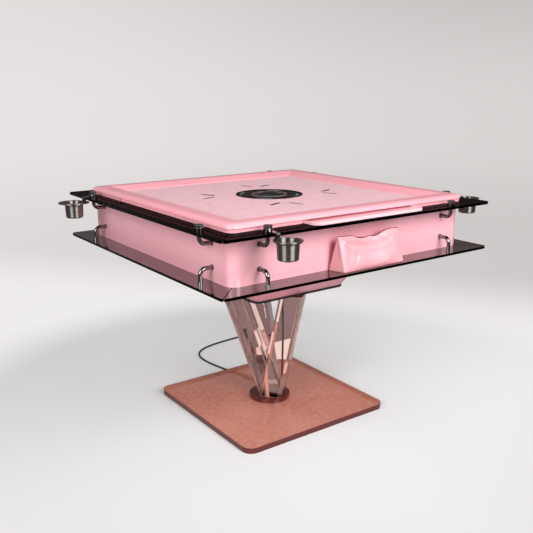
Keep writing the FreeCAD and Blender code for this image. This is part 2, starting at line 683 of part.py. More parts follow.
def cup_arm():
    x = -BRACKET_OFFSET
    bottom = UPPER_GLASS_TOP + ARM_CLEARANCE
    top = bottom + ARM_THICK
    low = bottom - ARM_DROP
    step = -POST_LINE - ARM_CRANK
    cup = -POST_LINE - ARM_LENGTH
    hole = CUP_MOUTH_DIAMETER / 2 + CUP_RING_CLEARANCE
    eye = disc(ARM_EYE_DIAMETER / 2, bottom, top, x, -POST_LINE)
    strip = block(x - ARM_WIDTH / 2, x + ARM_WIDTH / 2, step, -POST_LINE, bottom, top)
    crank = block(x - ARM_WIDTH / 2, x + ARM_WIDTH / 2, step, step + ARM_CRANK_WIDTH, low, top)
    ring = disc(hole + ARM_RING_WIDTH, low, low + ARM_THICK, x, cup)
    link = block(x - ARM_WIDTH / 2, x + ARM_WIDTH / 2, cup + hole, step + ARM_CRANK_WIDTH, low, low + ARM_THICK)
    body = fuse_all([eye, strip, crank, ring, link])
    pin = disc(BRACKET_STUD_DIAMETER / 2 + ARM_BORE_CLEARANCE, low - OVERRUN, top + OVERRUN, x, -POST_LINE)
    mouth = disc(hole, low - OVERRUN, low + ARM_THICK + OVERRUN, x, cup)
    return cut_all(body, [pin, mouth])


def swung(shape, side):
    """An arm or a cup, turned about its post and to its side of the table."""
    copy = shape.copy()
    copy.rotate(V(-BRACKET_OFFSET, -POST_LINE, 0), V(0, 0, 1), ARM_TURN_DEG[side])
    return turned_to(copy, side)


def cup(flange_diameter):
    flange_bottom = UPPER_GLASS_TOP + ARM_CLEARANCE - ARM_DROP + ARM_THICK
    top = flange_bottom + CUP_FLANGE_THICK
    bottom = top - CUP_HEIGHT
    mouth = CUP_MOUTH_DIAMETER / 2
    base = CUP_BASE_DIAMETER / 2
    foot = bottom + CUP_BEAD
    foot_radius = base + (mouth - base) * CUP_BEAD / (CUP_HEIGHT - CUP_FLANGE_THICK)
    slant = CUP_BEAD * (1 - math.sqrt(0.5))
    outer = [V(0, 0, bottom), V(base - CUP_BEAD, 0, bottom), V(foot_radius, 0, foot), V(mouth, 0, flange_bottom),
             V(flange_diameter / 2, 0, flange_bottom), V(flange_diameter / 2, 0, top),
             V(mouth - CUP_WALL, 0, top), V(foot_radius - CUP_WALL, 0, foot), V(base - CUP_BEAD, 0, bottom + CUP_WALL),
             V(0, 0, bottom + CUP_WALL)]
    edges = []
    for index, start in enumerate(outer):
        end = outer[(index + 1) % len(outer)]
        if index == 1:
            bulge = V(base - slant, 0, bottom + slant)
            edges.append(Part.Arc(start, bulge, end).toShape())
        elif index == 7:
            bulge = V(base - slant - CUP_WALL / 2, 0, bottom + slant + CUP_WALL / 2)
            edges.append(Part.Arc(start, bulge, end).toShape())
        else:
            edges.append(Part.LineSegment(start, end).toShape())
    solid = Part.Face(Part.Wire(edges)).revolve(V(0, 0, 0), V(0, 0, 1), 4 * QUARTER_DEG)
    solid.translate(V(-BRACKET_OFFSET, -POST_LINE - ARM_LENGTH, 0))
    return solid


def brimmed_cup():
    """The cup with the wide brim, which ends straight on the side of the glass."""
    edge = -POST_LINE - ARM_LENGTH + CUP_BRIM_CUT
    beyond = block(-BRACKET_OFFSET - CUP_BRIM_DIAMETER, -BRACKET_OFFSET + CUP_BRIM_DIAMETER, edge,
                   edge + CUP_BRIM_DIAMETER, LOWER_GLASS_TOP, UPPER_GLASS_TOP)
    return cup(CUP_BRIM_DIAMETER).cut(beyond)


# Pouch

def pouch_form(inset, bottom_inset, top_extra):
    bottom = LOWER_GLASS_TOP + SEAT_GAP
    centre_y = -BODY_HALF - POUCH_WALL_GAP - POUCH_DEPTH / 2
    sections = []
    for height_share, width_share, depth_share in POUCH_SHARES:
        level = bottom + height_share * POUCH_HEIGHT
        if height_share == 0:
            level += bottom_inset
        sections.append(rounded_rectangle(POUCH_WIDTH / 2 * width_share - inset, POUCH_DEPTH / 2 * depth_share - inset,
                                          POUCH_CORNER - inset, level, POUCH_CENTRE_X, centre_y))
    sections.append(rounded_rectangle(POUCH_WIDTH / 2 * POUCH_MOUTH_WIDTH_SHARE - inset, POUCH_MOUTH_DEPTH / 2 - inset,
                                      POUCH_CORNER - inset, bottom + POUCH_HEIGHT + top_extra, POUCH_CENTRE_X, centre_y))
    return Part.makeLoft(sections, True, False)


def storage_pouch():
    outside = pouch_form(0, 0, 0)
    inside = pouch_form(POUCH_WALL, POUCH_WALL, OVERRUN)
    return outside.cut(inside)


# Machine base, lifts and console

def stem_places():
    y = -LIFT_INNER - LIFT_WIDTH / 2
    return [(-LIFT_STEM_OFFSET, y), (LIFT_STEM_OFFSET, y)]


def drive_place():
    angle = math.radians(DRIVE_AZIMUTH)
    return DRIVE_DISTANCE * math.cos(angle), DRIVE_DISTANCE * math.sin(angle)


def machine_base():
    sheet = slab(BODY_HALF - BODY_WALL - BASE_CLEARANCE, BASE_CORNER, BODY_BOTTOM, BASE_TOP)
    post = block(POST_OFFSET - POST_WIDTH / 2, POST_OFFSET + POST_WIDTH / 2, -POST_OFFSET - POST_WIDTH / 2,
                 -POST_OFFSET + POST_WIDTH / 2, BASE_TOP, UPPER_GLASS_TOP)
    tubes = [disc(LIFT_TUBE_DIAMETER / 2, BASE_TOP, BASE_TOP + LIFT_TUBE_HEIGHT, x, y) for x, y in stem_places()]
    body = fuse_all([sheet] + on_each_side(post) + [copy for tube in tubes for copy in on_each_side(tube)])
    bores = [disc(LIFT_STEM_DIAMETER / 2 + RUNNING_CLEARANCE, BASE_TOP, BASE_TOP + LIFT_TUBE_HEIGHT + OVERRUN, x, y)
             for x, y in stem_places()]
    shaft_hole = disc(DRIVE_SHAFT_DIAMETER, BODY_BOTTOM - OVERRUN, BASE_TOP + OVERRUN, *drive_place())
    return cut_all(body, [copy for bore in bores for copy in on_each_side(bore)] + [shaft_hole])


def lift_plate():
    bottom = FELT_LEVEL - LIFT_THICK
    plate = block(*lift_slot(0), bottom, FELT_LEVEL)
    stems = [disc(LIFT_STEM_DIAMETER / 2, bottom - LIFT_STEM_LENGTH, bottom, x, y) for x, y in stem_places()]
    return fuse_all([plate] + stems)


def console_housing():
    outer = CONSOLE_DIAMETER / 2
    inner = outer - CONSOLE_WALL
    bowl = BOWL_DIAMETER / 2
    post = CONSOLE_POST_DIAMETER / 2
    bowl_top = PANEL_BOTTOM - DOME_FLANGE
    floor = CONSOLE_BOTTOM + CONSOLE_WALL
    outline = [(0, CONSOLE_BOTTOM - CONSOLE_POST_LENGTH), (post, CONSOLE_BOTTOM - CONSOLE_POST_LENGTH),
               (post, CONSOLE_BOTTOM), (outer, CONSOLE_BOTTOM), (outer, PANEL_BOTTOM), (inner, PANEL_BOTTOM),
               (inner, floor), (bowl + BOWL_WALL, floor), (bowl + BOWL_WALL, bowl_top), (bowl, bowl_top),
               (bowl, bowl_top - BOWL_DEPTH), (0, bowl_top - BOWL_DEPTH)]
    return turned(outline)


def button_places():
    radius = BUTTON_CIRCLE / 2
    return {"front": (0, -radius), "right": (radius, 0), "back": (0, radius), "left": (-radius, 0)}


def console_panel():
    outer = CONSOLE_DIAMETER / 2
    inner = BOWL_DIAMETER / 2 + SEAT_GAP
    panel = disc(outer, PANEL_BOTTOM, FELT_LEVEL).cut(disc(inner, PANEL_BOTTOM - OVERRUN, FELT_LEVEL + OVERRUN))
    holes = [disc(BUTTON_DIAMETER / 2 + BUTTON_CLEARANCE, PANEL_BOTTOM - OVERRUN, FELT_LEVEL + OVERRUN, x, y)
             for x, y in button_places().values()]
    return cut_all(panel, holes)


def cap_arc(foot_radius, foot_level, top_level):
    """Three points of a shallow round cap, from its foot to its top."""
    rise = top_level - foot_level
    ball = (foot_radius ** 2 + rise ** 2) / (2 * rise)
    half_radius = foot_radius / 2
    drop = ball - math.sqrt(ball ** 2 - half_radius ** 2)
    return V(foot_radius, 0, foot_level), V(half_radius, 0, top_level - drop), V(0, 0, top_level)


def console_dome():
    rim = BOWL_DIAMETER / 2
    seat = PANEL_BOTTOM - DOME_FLANGE
    top = FELT_LEVEL + DOME_RISE
    foot, shoulder, crown = cap_arc(rim, PANEL_BOTTOM, top)
    low, bulge, peak = cap_arc(rim - 2 * DOME_THICK, seat, top - DOME_THICK)
    wide = rim + BOWL_WALL
    edges = [Part.Arc(foot, shoulder, crown).toShape(), Part.LineSegment(crown, peak).toShape(),
             Part.Arc(peak, bulge, low).toShape(), Part.LineSegment(low, V(wide, 0, seat)).toShape(),
             Part.LineSegment(V(wide, 0, seat), V(wide, 0, PANEL_BOTTOM)).toShape(),
             Part.LineSegment(V(wide, 0, PANEL_BOTTOM), foot).toShape()]
    return Part.Face(Part.Wire(edges)).revolve(V(0, 0, 0), V(0, 0, 1), 4 * QUARTER_DEG)


def console_dice():
    bottom = PANEL_BOTTOM - DOME_FLANGE - BOWL_DEPTH
    half = DICE_SIZE / 2
    dice = []
    for sign in (-1, 1):
        die = block(-half, half, -half, half, bottom, bottom + DICE_SIZE)
        die = die.makeChamfer(DICE_EDGE, die.Edges)
        die.rotate(V(0, 0, 0), V(0, 0, 1), sign * DICE_TURN_DEG)
        die.translate(V(sign * DICE_SPREAD, sign * DICE_SPREAD / 2, 0))
        dice.append(die)
    return Part.makeCompound(dice)


def console_sleeve():
    bore = CONSOLE_POST_DIAMETER / 2 + RUNNING_CLEARANCE
    tube = SLEEVE_DIAMETER / 2
    shoulder = SLEEVE_SHOULDER_DIAMETER / 2
    flange = SLEEVE_FLANGE_DIAMETER / 2
    outline = [(bore, BASE_TOP), (flange, BASE_TOP), (flange, BASE_TOP + SLEEVE_FLANGE_THICK),
               (shoulder, BASE_TOP + SLEEVE_FLANGE_THICK), (shoulder, BASE_TOP + SLEEVE_SHOULDER_HEIGHT),
               (tube, BASE_TOP + SLEEVE_SHOULDER_HEIGHT), (tube, BASE_TOP + SLEEVE_HEIGHT), (bore, BASE_TOP + SLEEVE_HEIGHT)]
    return turned(outline)


def console_button(side):
    x, y = button_places()[side]
    radius = BUTTON_DIAMETER / 2
    cap = disc(radius, PANEL_BOTTOM - SEAT_GAP, FELT_LEVEL + BUTTON_PROUD, x, y)
    cap = cap.makeChamfer(BUTTON_PROUD / 2, [cap.Edges[0]])
    flange = disc(radius + BUTTON_FLANGE, PANEL_BOTTOM - SEAT_GAP - BUTTON_FLANGE, PANEL_BOTTOM - SEAT_GAP, x, y)
    return fuse_all([cap, flange])


# Turntable and drive

def shuffle_turntable():
    bore = SLEEVE_DIAMETER / 2 + RUNNING_CLEARANCE
    hub = TURNTABLE_HUB_DIAMETER / 2
    hub_bottom = BASE_TOP + SLEEVE_SHOULDER_HEIGHT + SEAT_GAP
    dish = TURNTABLE_DIAMETER / 2
    floor = TURNTABLE_LEVEL
    top = floor + TURNTABLE_FLOOR
    cone = TURNTABLE_CONE_DIAMETER / 2
    pulley = TURNTABLE_PULLEY_DIAMETER / 2
    outline = [(bore, hub_bottom), (hub, hub_bottom), (hub, PULLEY_BOTTOM - PULLEY_FLANGE),
               (pulley + PULLEY_FLANGE, PULLEY_BOTTOM - PULLEY_FLANGE), (pulley + PULLEY_FLANGE, PULLEY_BOTTOM),
               (pulley, PULLEY_BOTTOM), (pulley, PULLEY_BOTTOM + PULLEY_WIDTH),
               (pulley + PULLEY_FLANGE, PULLEY_BOTTOM + PULLEY_WIDTH), (pulley + PULLEY_FLANGE, floor), (dish, floor),
               (dish, top + TURNTABLE_RIM_HEIGHT), (dish - TURNTABLE_RIM_WIDTH, top + TURNTABLE_RIM_HEIGHT),
               (dish - 2 * TURNTABLE_RIM_WIDTH, top), (cone, top), (hub, top + TURNTABLE_CONE_HEIGHT),
               (bore, top + TURNTABLE_CONE_HEIGHT)]
    return turned(outline)


def drive_motor():
    x, y = drive_place()
    top = BODY_BOTTOM
    flange = disc(MOTOR_FLANGE / 2, top - MOTOR_FLANGE_THICK, top, x, y)
    body = disc(MOTOR_DIAMETER / 2, top - MOTOR_LENGTH, top, x, y)
    cap = disc(MOTOR_CAP_DIAMETER / 2, top - MOTOR_LENGTH - MOTOR_CAP_LENGTH, top - MOTOR_LENGTH, x, y)
    bore = disc(DRIVE_SHAFT_DIAMETER / 2 + RUNNING_CLEARANCE, top - DRIVE_SHAFT_DEPTH - SEAT_GAP, top + OVERRUN, x, y)
    return fuse_all([flange, body, cap]).cut(bore)


def drive_pulley():
    shaft = DRIVE_SHAFT_DIAMETER / 2
    wheel = DRIVE_PULLEY_DIAMETER / 2
    flange = wheel + PULLEY_FLANGE
    upper = PULLEY_BOTTOM + PULLEY_WIDTH
    outline = [(0, BODY_BOTTOM - DRIVE_SHAFT_DEPTH), (shaft, BODY_BOTTOM - DRIVE_SHAFT_DEPTH),
               (shaft, PULLEY_BOTTOM - PULLEY_FLANGE), (flange, PULLEY_BOTTOM - PULLEY_FLANGE), (flange, PULLEY_BOTTOM),
               (wheel, PULLEY_BOTTOM), (wheel, upper), (flange, upper), (flange, upper + PULLEY_FLANGE / 2),
               (0, upper + PULLEY_FLANGE / 2)]
    return turned(outline, *drive_place())


def belt_outline(large, small, level):
    """A loop round the two pulleys: two arcs and the two lines that touch both."""
    lean = math.acos((large - small) / DRIVE_DISTANCE)
    points = []
    for centre, radius, angles in ((0, large, (lean, math.pi, 2 * math.pi - lean)),
                                   (DRIVE_DISTANCE, small, (-lean, 0, lean))):
        points.append([V(centre + radius * math.cos(a), radius * math.sin(a), level) for a in angles])
    big, little = points
    edges = [Part.Arc(*big).toShape(), Part.LineSegment(big[2], little[0]).toShape(),
             Part.Arc(*little).toShape(), Part.LineSegment(little[2], big[0]).toShape()]
    return Part.Wire(edges)


def drive_belt():
    level = PULLEY_BOTTOM + (PULLEY_WIDTH - BELT_WIDTH) / 2
    large = TURNTABLE_PULLEY_DIAMETER / 2 + BELT_GAP
    small = DRIVE_PULLEY_DIAMETER / 2 + BELT_GAP
    outside = Part.Face(belt_outline(large + BELT_THICK, small + BELT_THICK, level))
    inside = Part.Face(belt_outline(large, small, level))
    belt = outside.cut(inside).extrude(V(0, 0, BELT_WIDTH))
    belt.rotate(V(0, 0, 0), V(0, 0, 1), DRIVE_AZIMUTH)
    return belt.Solids[0]


# Electrics

def power_supply():
    half_x = SUPPLY_LENGTH / 2
    half_y = SUPPLY_WIDTH / 2
    top = TUB_BOTTOM + SUPPLY_HEIGHT
    case = block(SUPPLY_X - half_x, SUPPLY_X + half_x, SUPPLY_Y - half_y, SUPPLY_Y + half_y, TUB_BOTTOM, top)
    pitch = SUPPLY_LENGTH / (SUPPLY_FINS + 1)
    for index in range(SUPPLY_FINS):
        x = SUPPLY_X - half_x + pitch * (index + 0.75)
        case = case.cut(block(x, x + pitch / 2, SUPPLY_Y - half_y - OVERRUN, SUPPLY_Y + half_y + OVERRUN,
                              top - SUPPLY_FIN_DEPTH, top + OVERRUN))
    return case


def control_board():
    half_x = CARD_LENGTH / 2
    half_y = CARD_WIDTH / 2
    low = BASE_TOP + CARD_STANDOFF
    top = low + CARD_THICK
    pieces = [block(CARD_X - half_x, CARD_X + half_x, CARD_Y - half_y, CARD_Y + half_y, low, top)]
    inset = CARD_STANDOFF_DIAMETER
    for sx in (-1, 1):
        for sy in (-1, 1):
            pieces.append(disc(CARD_STANDOFF_DIAMETER / 2, BASE_TOP, low, CARD_X + sx * (half_x - inset),
                               CARD_Y + sy * (half_y - inset)))
    for share_x, share_y, share_size in ((-0.3, -0.15, 0.22), (0.15, 0.2, 0.16), (0.3, -0.25, 0.12)):
        x = CARD_X + share_x * CARD_LENGTH
        y = CARD_Y + share_y * CARD_WIDTH
        half = share_size * CARD_WIDTH
        pieces.append(block(x - half, x + half, y - half, y + half, top, top + CARD_CHIP_HEIGHT))
    return fuse_all(pieces)


# Cord: straight runs joined by arcs, then a flat coil in two layers

LEAD_X = 62.0
LEAD_Y = -8.0
GLAND_TIP = LEG_TOP - GLAND_LENGTH
DROP_SLOT = [(LEAD_X, LEAD_Y), (LEAD_X, 8.0), (LEAD_X, 22.0)]
CORD_ROUTE = [
    (LEAD_X, LEAD_Y, GLAND_TIP),
    (63.0, -9.5, 345.0),
    (65.0, -9.0, 265.0),
    (64.5, -7.5, 185.0),
    (62.5, -7.5, 110.0),
    (LEAD_X, LEAD_Y, 65.0),
    (LEAD_X, LEAD_Y, 33.5),
    (LEAD_X, 2.7, 15.0),
    (61.0, 21.5, CORD_LEVEL),
    (57.0, 60.0, CORD_LEVEL),
    (46.0, 123.0, CORD_LEVEL),
    (41.0, 216.0, CORD_LEVEL),
    (27.0, 282.0, CORD_LEVEL),
    (15.0, 322.0, CORD_LEVEL),
    (4.0, 376.0, CORD_LEVEL),
    (-4.0, 440.0, CORD_LEVEL),
    (-1.0, 500.0, CORD_LEVEL),
    (24.0, 548.0, CORD_LEVEL),
    (72.0, 579.0, CORD_LEVEL),
    (135.0, 594.0, CORD_LEVEL),
    (205.0, 601.0, CORD_LEVEL),
    (270.0, 605.0, CORD_LEVEL),
    (318.0, COIL_Y - COIL_OUTER_RADIUS, CORD_LEVEL),
    (COIL_X - CORD_DIAMETER, COIL_Y - COIL_OUTER_RADIUS, CORD_LEVEL),
]
CORD_BEND_SHARE = 0.45


def power_cord():
    points = [V(*point) for point in CORD_ROUTE]
    edges = []
    radii = []
    start = points[0]
    for before, corner, after in zip(points, points[1:], points[2:]):
        inwards = (corner - before).normalize()
        outwards = (after - corner).normalize()
        turn = inwards.getAngle(outwards)
        trim = CORD_BEND_SHARE * min((corner - before).Length, (after - corner).Length)
        radii.append(trim / math.tan(turn / 2))
        first = corner - inwards * trim
        last = corner + outwards * trim
        centre_line = (outwards - inwards).normalize()
        sagitta = radii[-1] * (1 / math.cos(turn / 2) - 1)
        middle = corner + centre_line * sagitta
        edges.append(Part.LineSegment(start, first).toShape())
        edges.append(Part.Arc(first, middle, last).toShape())
        start = last
    edges.append(Part.LineSegment(start, points[-1]).toShape())
    print("cord bend radii", [round(radius) for radius in radii])
    tube = swept_circle(edges, CORD_RADIUS, points[0], (points[1] - points[0]).normalize())
    length = sum(edge.Length for edge in edges)
    print("cord length", round(length), "volume share", tube.Volume / (math.pi * CORD_RADIUS ** 2 * length))
    return tube


def coil_place(turn):
    """A point of the coil's centre line: in on the floor, one climb where it reverses, and out on the top layer."""
    middle = (COIL_TURNS + COIL_END_TURN) / 2
    away = abs(turn - middle)
    radius = COIL_OUTER_RADIUS - COIL_PITCH * (middle - away)
    share = min(max((turn - middle) / COIL_CLIMB_TURNS + 0.5, 0), 1)
    rise = share * share * (3 - 2 * share)
    angle = 2 * math.pi * turn - math.pi / 2
    return V(COIL_X + radius * math.cos(angle), COIL_Y + radius * math.sin(angle),
             CORD_LEVEL + rise * COIL_HEIGHT_STEP)


def coil_heading(turn):
    small_share = 0.001
    ahead = coil_place(turn + small_share) - coil_place(turn - small_share)
    return ahead.normalize()


def arc_between(start, heading, end):
    """The arc that leaves a point along a heading and ends at another point."""
    chord = end - start
    side = chord - heading * chord.dot(heading)
    side.normalize()
    radius = chord.dot(chord) / (2 * chord.dot(side))
    centre = start + side * radius
    middle = ((start - centre) + (end - centre)).normalize() * radius + centre
    return Part.Arc(start, middle, end).toShape()


def two_arcs(start, heading, end, leaving):
    """Two tangent arcs from one point and heading to another."""
    gap = end - start
    both = heading + leaving
    spread = 1 - heading.dot(leaving)
    across = gap.dot(both)
    reach = (-across + math.sqrt(across ** 2 + 2 * spread * gap.dot(gap))) / (2 * spread)
    joint = (start + heading * reach + end - leaving * reach) * 0.5
    first = arc_between(start, heading, joint)
    back = arc_between(end, leaving * -1, joint)
    return first, back


def cord_coil():
    steps = [0.25 * index for index in range(int(COIL_TURNS / 0.25) + 1)]
    steps.append(COIL_TURNS + COIL_END_TURN)
    places = [coil_place(turn) for turn in steps]
    headings = [coil_heading(turn) for turn in steps]
    headings[0] = V(1, 0, 0)
    start = places[0] - headings[0] * CORD_DIAMETER
    end = places[-1] + headings[-1] * CORD_DIAMETER
    edges = [Part.LineSegment(start, places[0]).toShape()]
    for index in range(len(steps) - 1):
        edges.extend(two_arcs(places[index], headings[index], places[index + 1], headings[index + 1]))
    edges.append(Part.LineSegment(places[-1], end).toShape())
    edges = Part.__sortEdges__(edges)
    tube = swept_circle(edges, CORD_RADIUS, start, headings[0])
    samples = [coil_place(turn * 0.01) for turn in range(int((COIL_TURNS + COIL_END_TURN) * 100))]
    least = min((samples[i] - samples[j]).Length for i in range(len(samples)) for j in range(i + 50, len(samples)))
    length = sum(edge.Length for edge in edges)
    print("coil length", round(length), "least gap", round(least - CORD_DIAMETER, 2),
          "volume share", tube.Volume / (math.pi * CORD_RADIUS ** 2 * length))
    return tube


def cord_gland():
    flange = GLAND_FLANGE_DIAMETER / 2
    outline = [(0, LEG_TOP), (flange, LEG_TOP), (flange, LEG_TOP - GLAND_FLANGE_THICK),
               (GLAND_TOP_DIAMETER / 2, LEG_TOP - GLAND_FLANGE_THICK), (GLAND_TIP_DIAMETER / 2, GLAND_TIP), (0, GLAND_TIP)]
    return turned(outline, LEAD_X, LEAD_Y)


def power_plug():
    """Lies beside the coil: tapered relief, moulded body and three flat pins, built along +X and turned into place."""
    last = COIL_TURNS + COIL_END_TURN
    heading = coil_heading(last)
    start = coil_place(last) + heading * CORD_DIAMETER
    relief_end = PLUG_RELIEF_LENGTH
    body_end = relief_end + PLUG_LENGTH
    half_height = start.z - SEAT_GAP
    relief = Part.makeCone(CORD_RADIUS * 1.3, PLUG_RELIEF_DIAMETER / 2, PLUG_RELIEF_LENGTH, V(0, 0, 0), V(1, 0, 0))
    sections = []
    for share_along, share_across in ((0.0, 0.62), (0.35, 0.96), (1.0, 1.0)):
        wire = rounded_rectangle(half_height * share_across, PLUG_WIDTH / 2 * share_across,
                                 half_height * share_across / 2, 0)
        wire.rotate(V(0, 0, 0), V(0, 1, 0), QUARTER_DEG)
        wire.translate(V(relief_end + share_along * PLUG_LENGTH, 0, 0))
        sections.append(wire)
    pieces = [relief, Part.makeLoft(sections, True, True)]
    for across, up, turn in ((-PLUG_PIN_SPREAD, PLUG_PIN_SPREAD / 2, PLUG_PIN_TURN_DEG),
                             (PLUG_PIN_SPREAD, PLUG_PIN_SPREAD / 2, -PLUG_PIN_TURN_DEG),
                             (0, -PLUG_PIN_SPREAD / 2, 0)):
        pin = block(body_end, body_end + PLUG_PIN_LENGTH, -PLUG_PIN_THICK / 2, PLUG_PIN_THICK / 2,
                    -PLUG_PIN_WIDTH / 2, PLUG_PIN_WIDTH / 2)
        pin.rotate(V(0, 0, 0), V(1, 0, 0), turn)
        pin.translate(V(0, across, up))
        pieces.append(pin)
    plug = fuse_all(pieces)
    plug.rotate(V(0, 0, 0), V(0, 0, 1), math.degrees(math.atan2(heading.y, heading.x)))
    plug.translate(start)
    return plug


# Write every piece

write("base_plate", base_plate())
write("hub_flange", hub_flange())
write("hub_clamp_disc", hub_clamp_disc())
for leg_name, leg in legs().items():
    write(leg_name, leg)
write("chassis_floor_plate", chassis_floor_plate())
write("chassis_tub", chassis_tub())
write("machine_base", machine_base())
write("body_housing", body_housing())
write("top_frame", top_frame())
write("playing_board", playing_board())
write("upper_brackets", upper_brackets())
write("lower_brackets", lower_brackets())
write("bracket_cap_nuts", bracket_cap_nuts())
write("storage_pouch", storage_pouch())
for side in SIDES:
    write("lower_glass_" + side, turned_to(lower_glass_panel(), side))
    write("upper_glass_" + side, turned_to(upper_glass_panel(), side))
    write("cup_arm_" + side, swung(cup_arm(), side))
    drink_cup = brimmed_cup() if side == "left" else cup(CUP_FLANGE_DIAMETER)
    write("cup_" + side, swung(drink_cup, side))
    tray = chip_tray()
    if side == "front":
        tray.translate(V(0, -TRAY_OUT, 0))
    write("chip_tray_" + side, turned_to(tray, side))
    write("lift_plate_" + side, turned_to(lift_plate(), side))
    write("console_button_" + side, console_button(side))
write("console_housing", console_housing())
write("console_panel", console_panel())
write("console_dome", console_dome())
write("console_dice", console_dice())
write("console_sleeve", console_sleeve())
write("shuffle_turntable", shuffle_turntable())
write("drive_motor", drive_motor())
write("drive_pulley", drive_pulley())
write("drive_belt", drive_belt())
write("power_supply", power_supply())
write("control_board", control_board())
write("cord_gland", cord_gland())
write("power_cord", power_cord())
write("cord_coil", cord_coil())
write("power_plug", power_plug())
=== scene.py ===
import json
import math
import bmesh
import bpy
from mathutils import Matrix, Vector


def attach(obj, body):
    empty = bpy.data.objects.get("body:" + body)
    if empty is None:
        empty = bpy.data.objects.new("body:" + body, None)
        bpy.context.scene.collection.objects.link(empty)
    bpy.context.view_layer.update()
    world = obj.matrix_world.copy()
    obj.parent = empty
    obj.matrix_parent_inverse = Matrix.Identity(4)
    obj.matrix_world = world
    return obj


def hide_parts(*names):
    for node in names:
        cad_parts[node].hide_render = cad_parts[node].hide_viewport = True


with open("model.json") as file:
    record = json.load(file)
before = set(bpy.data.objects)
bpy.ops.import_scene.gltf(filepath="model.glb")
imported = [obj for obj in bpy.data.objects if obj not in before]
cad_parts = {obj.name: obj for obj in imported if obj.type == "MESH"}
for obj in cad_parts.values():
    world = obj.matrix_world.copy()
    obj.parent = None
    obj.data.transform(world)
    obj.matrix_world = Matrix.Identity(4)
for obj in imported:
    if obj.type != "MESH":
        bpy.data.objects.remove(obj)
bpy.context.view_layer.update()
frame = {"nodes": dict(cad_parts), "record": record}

nodes = frame["nodes"]
scene = bpy.context.scene
scene.view_settings.view_transform = "Standard"
SIDES = ("front", "right", "back", "left")

# Camera, solved from the straight edges in the photograph

PHOTO_PIXELS = 533.0
FOCAL_PIXELS = 701.6
SENSOR_WIDTH = 36.0
VIEW_PLACE = (-1.378, -1.905, 1.100)
VIEW_YAW_DEG, VIEW_DIP_DEG, VIEW_ROLL_DEG = -35.64, 14.36, -0.16

camera = bpy.data.cameras.new("camera")
camera.sensor_width = SENSOR_WIDTH
camera.lens = FOCAL_PIXELS * SENSOR_WIDTH / PHOTO_PIXELS
camera_object = bpy.data.objects.new("camera", camera)
scene.collection.objects.link(camera_object)
camera_object.matrix_world = (
    Matrix.Translation(VIEW_PLACE)
    @ Matrix.Rotation(math.radians(VIEW_YAW_DEG), 4, "Z")
    @ Matrix.Rotation(math.radians(90 - VIEW_DIP_DEG), 4, "X")
    @ Matrix.Rotation(math.radians(VIEW_ROLL_DEG), 4, "Z")
)
scene.camera = camera_object


def add_mesh(name, verts, faces, material, body, smooth=True):
    """A mesh piece that rides on a body of the model."""
    mesh = bpy.data.meshes.new(name)
    mesh.from_pydata([tuple(v) for v in verts], [], faces)
    mesh.materials.append(material)
    mesh.polygons.foreach_set("use_smooth", [smooth] * len(mesh.polygons))
    mesh.update()
    piece = bpy.data.objects.new(name, mesh)
    scene.collection.objects.link(piece)
    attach(piece, body)
    return piece


# Materials. A Mix node's colour sockets have no unique names, so they go by number.

MIX_SHARE, MIX_FIRST, MIX_SECOND, MIX_RESULT = 0, 6, 7, 2
BEVEL_SAMPLES, FINE_BEVEL_SAMPLES = 4, 6


def linear(r, g, b):
    """The shader's value of a colour written as it looks on the screen, from 0 to 255."""
    def one(v):
        v /= 255.0
        return v / 12.92 if v <= 0.04045 else ((v + 0.055) / 1.055) ** 2.4
    return (one(r), one(g), one(b), 1.0)


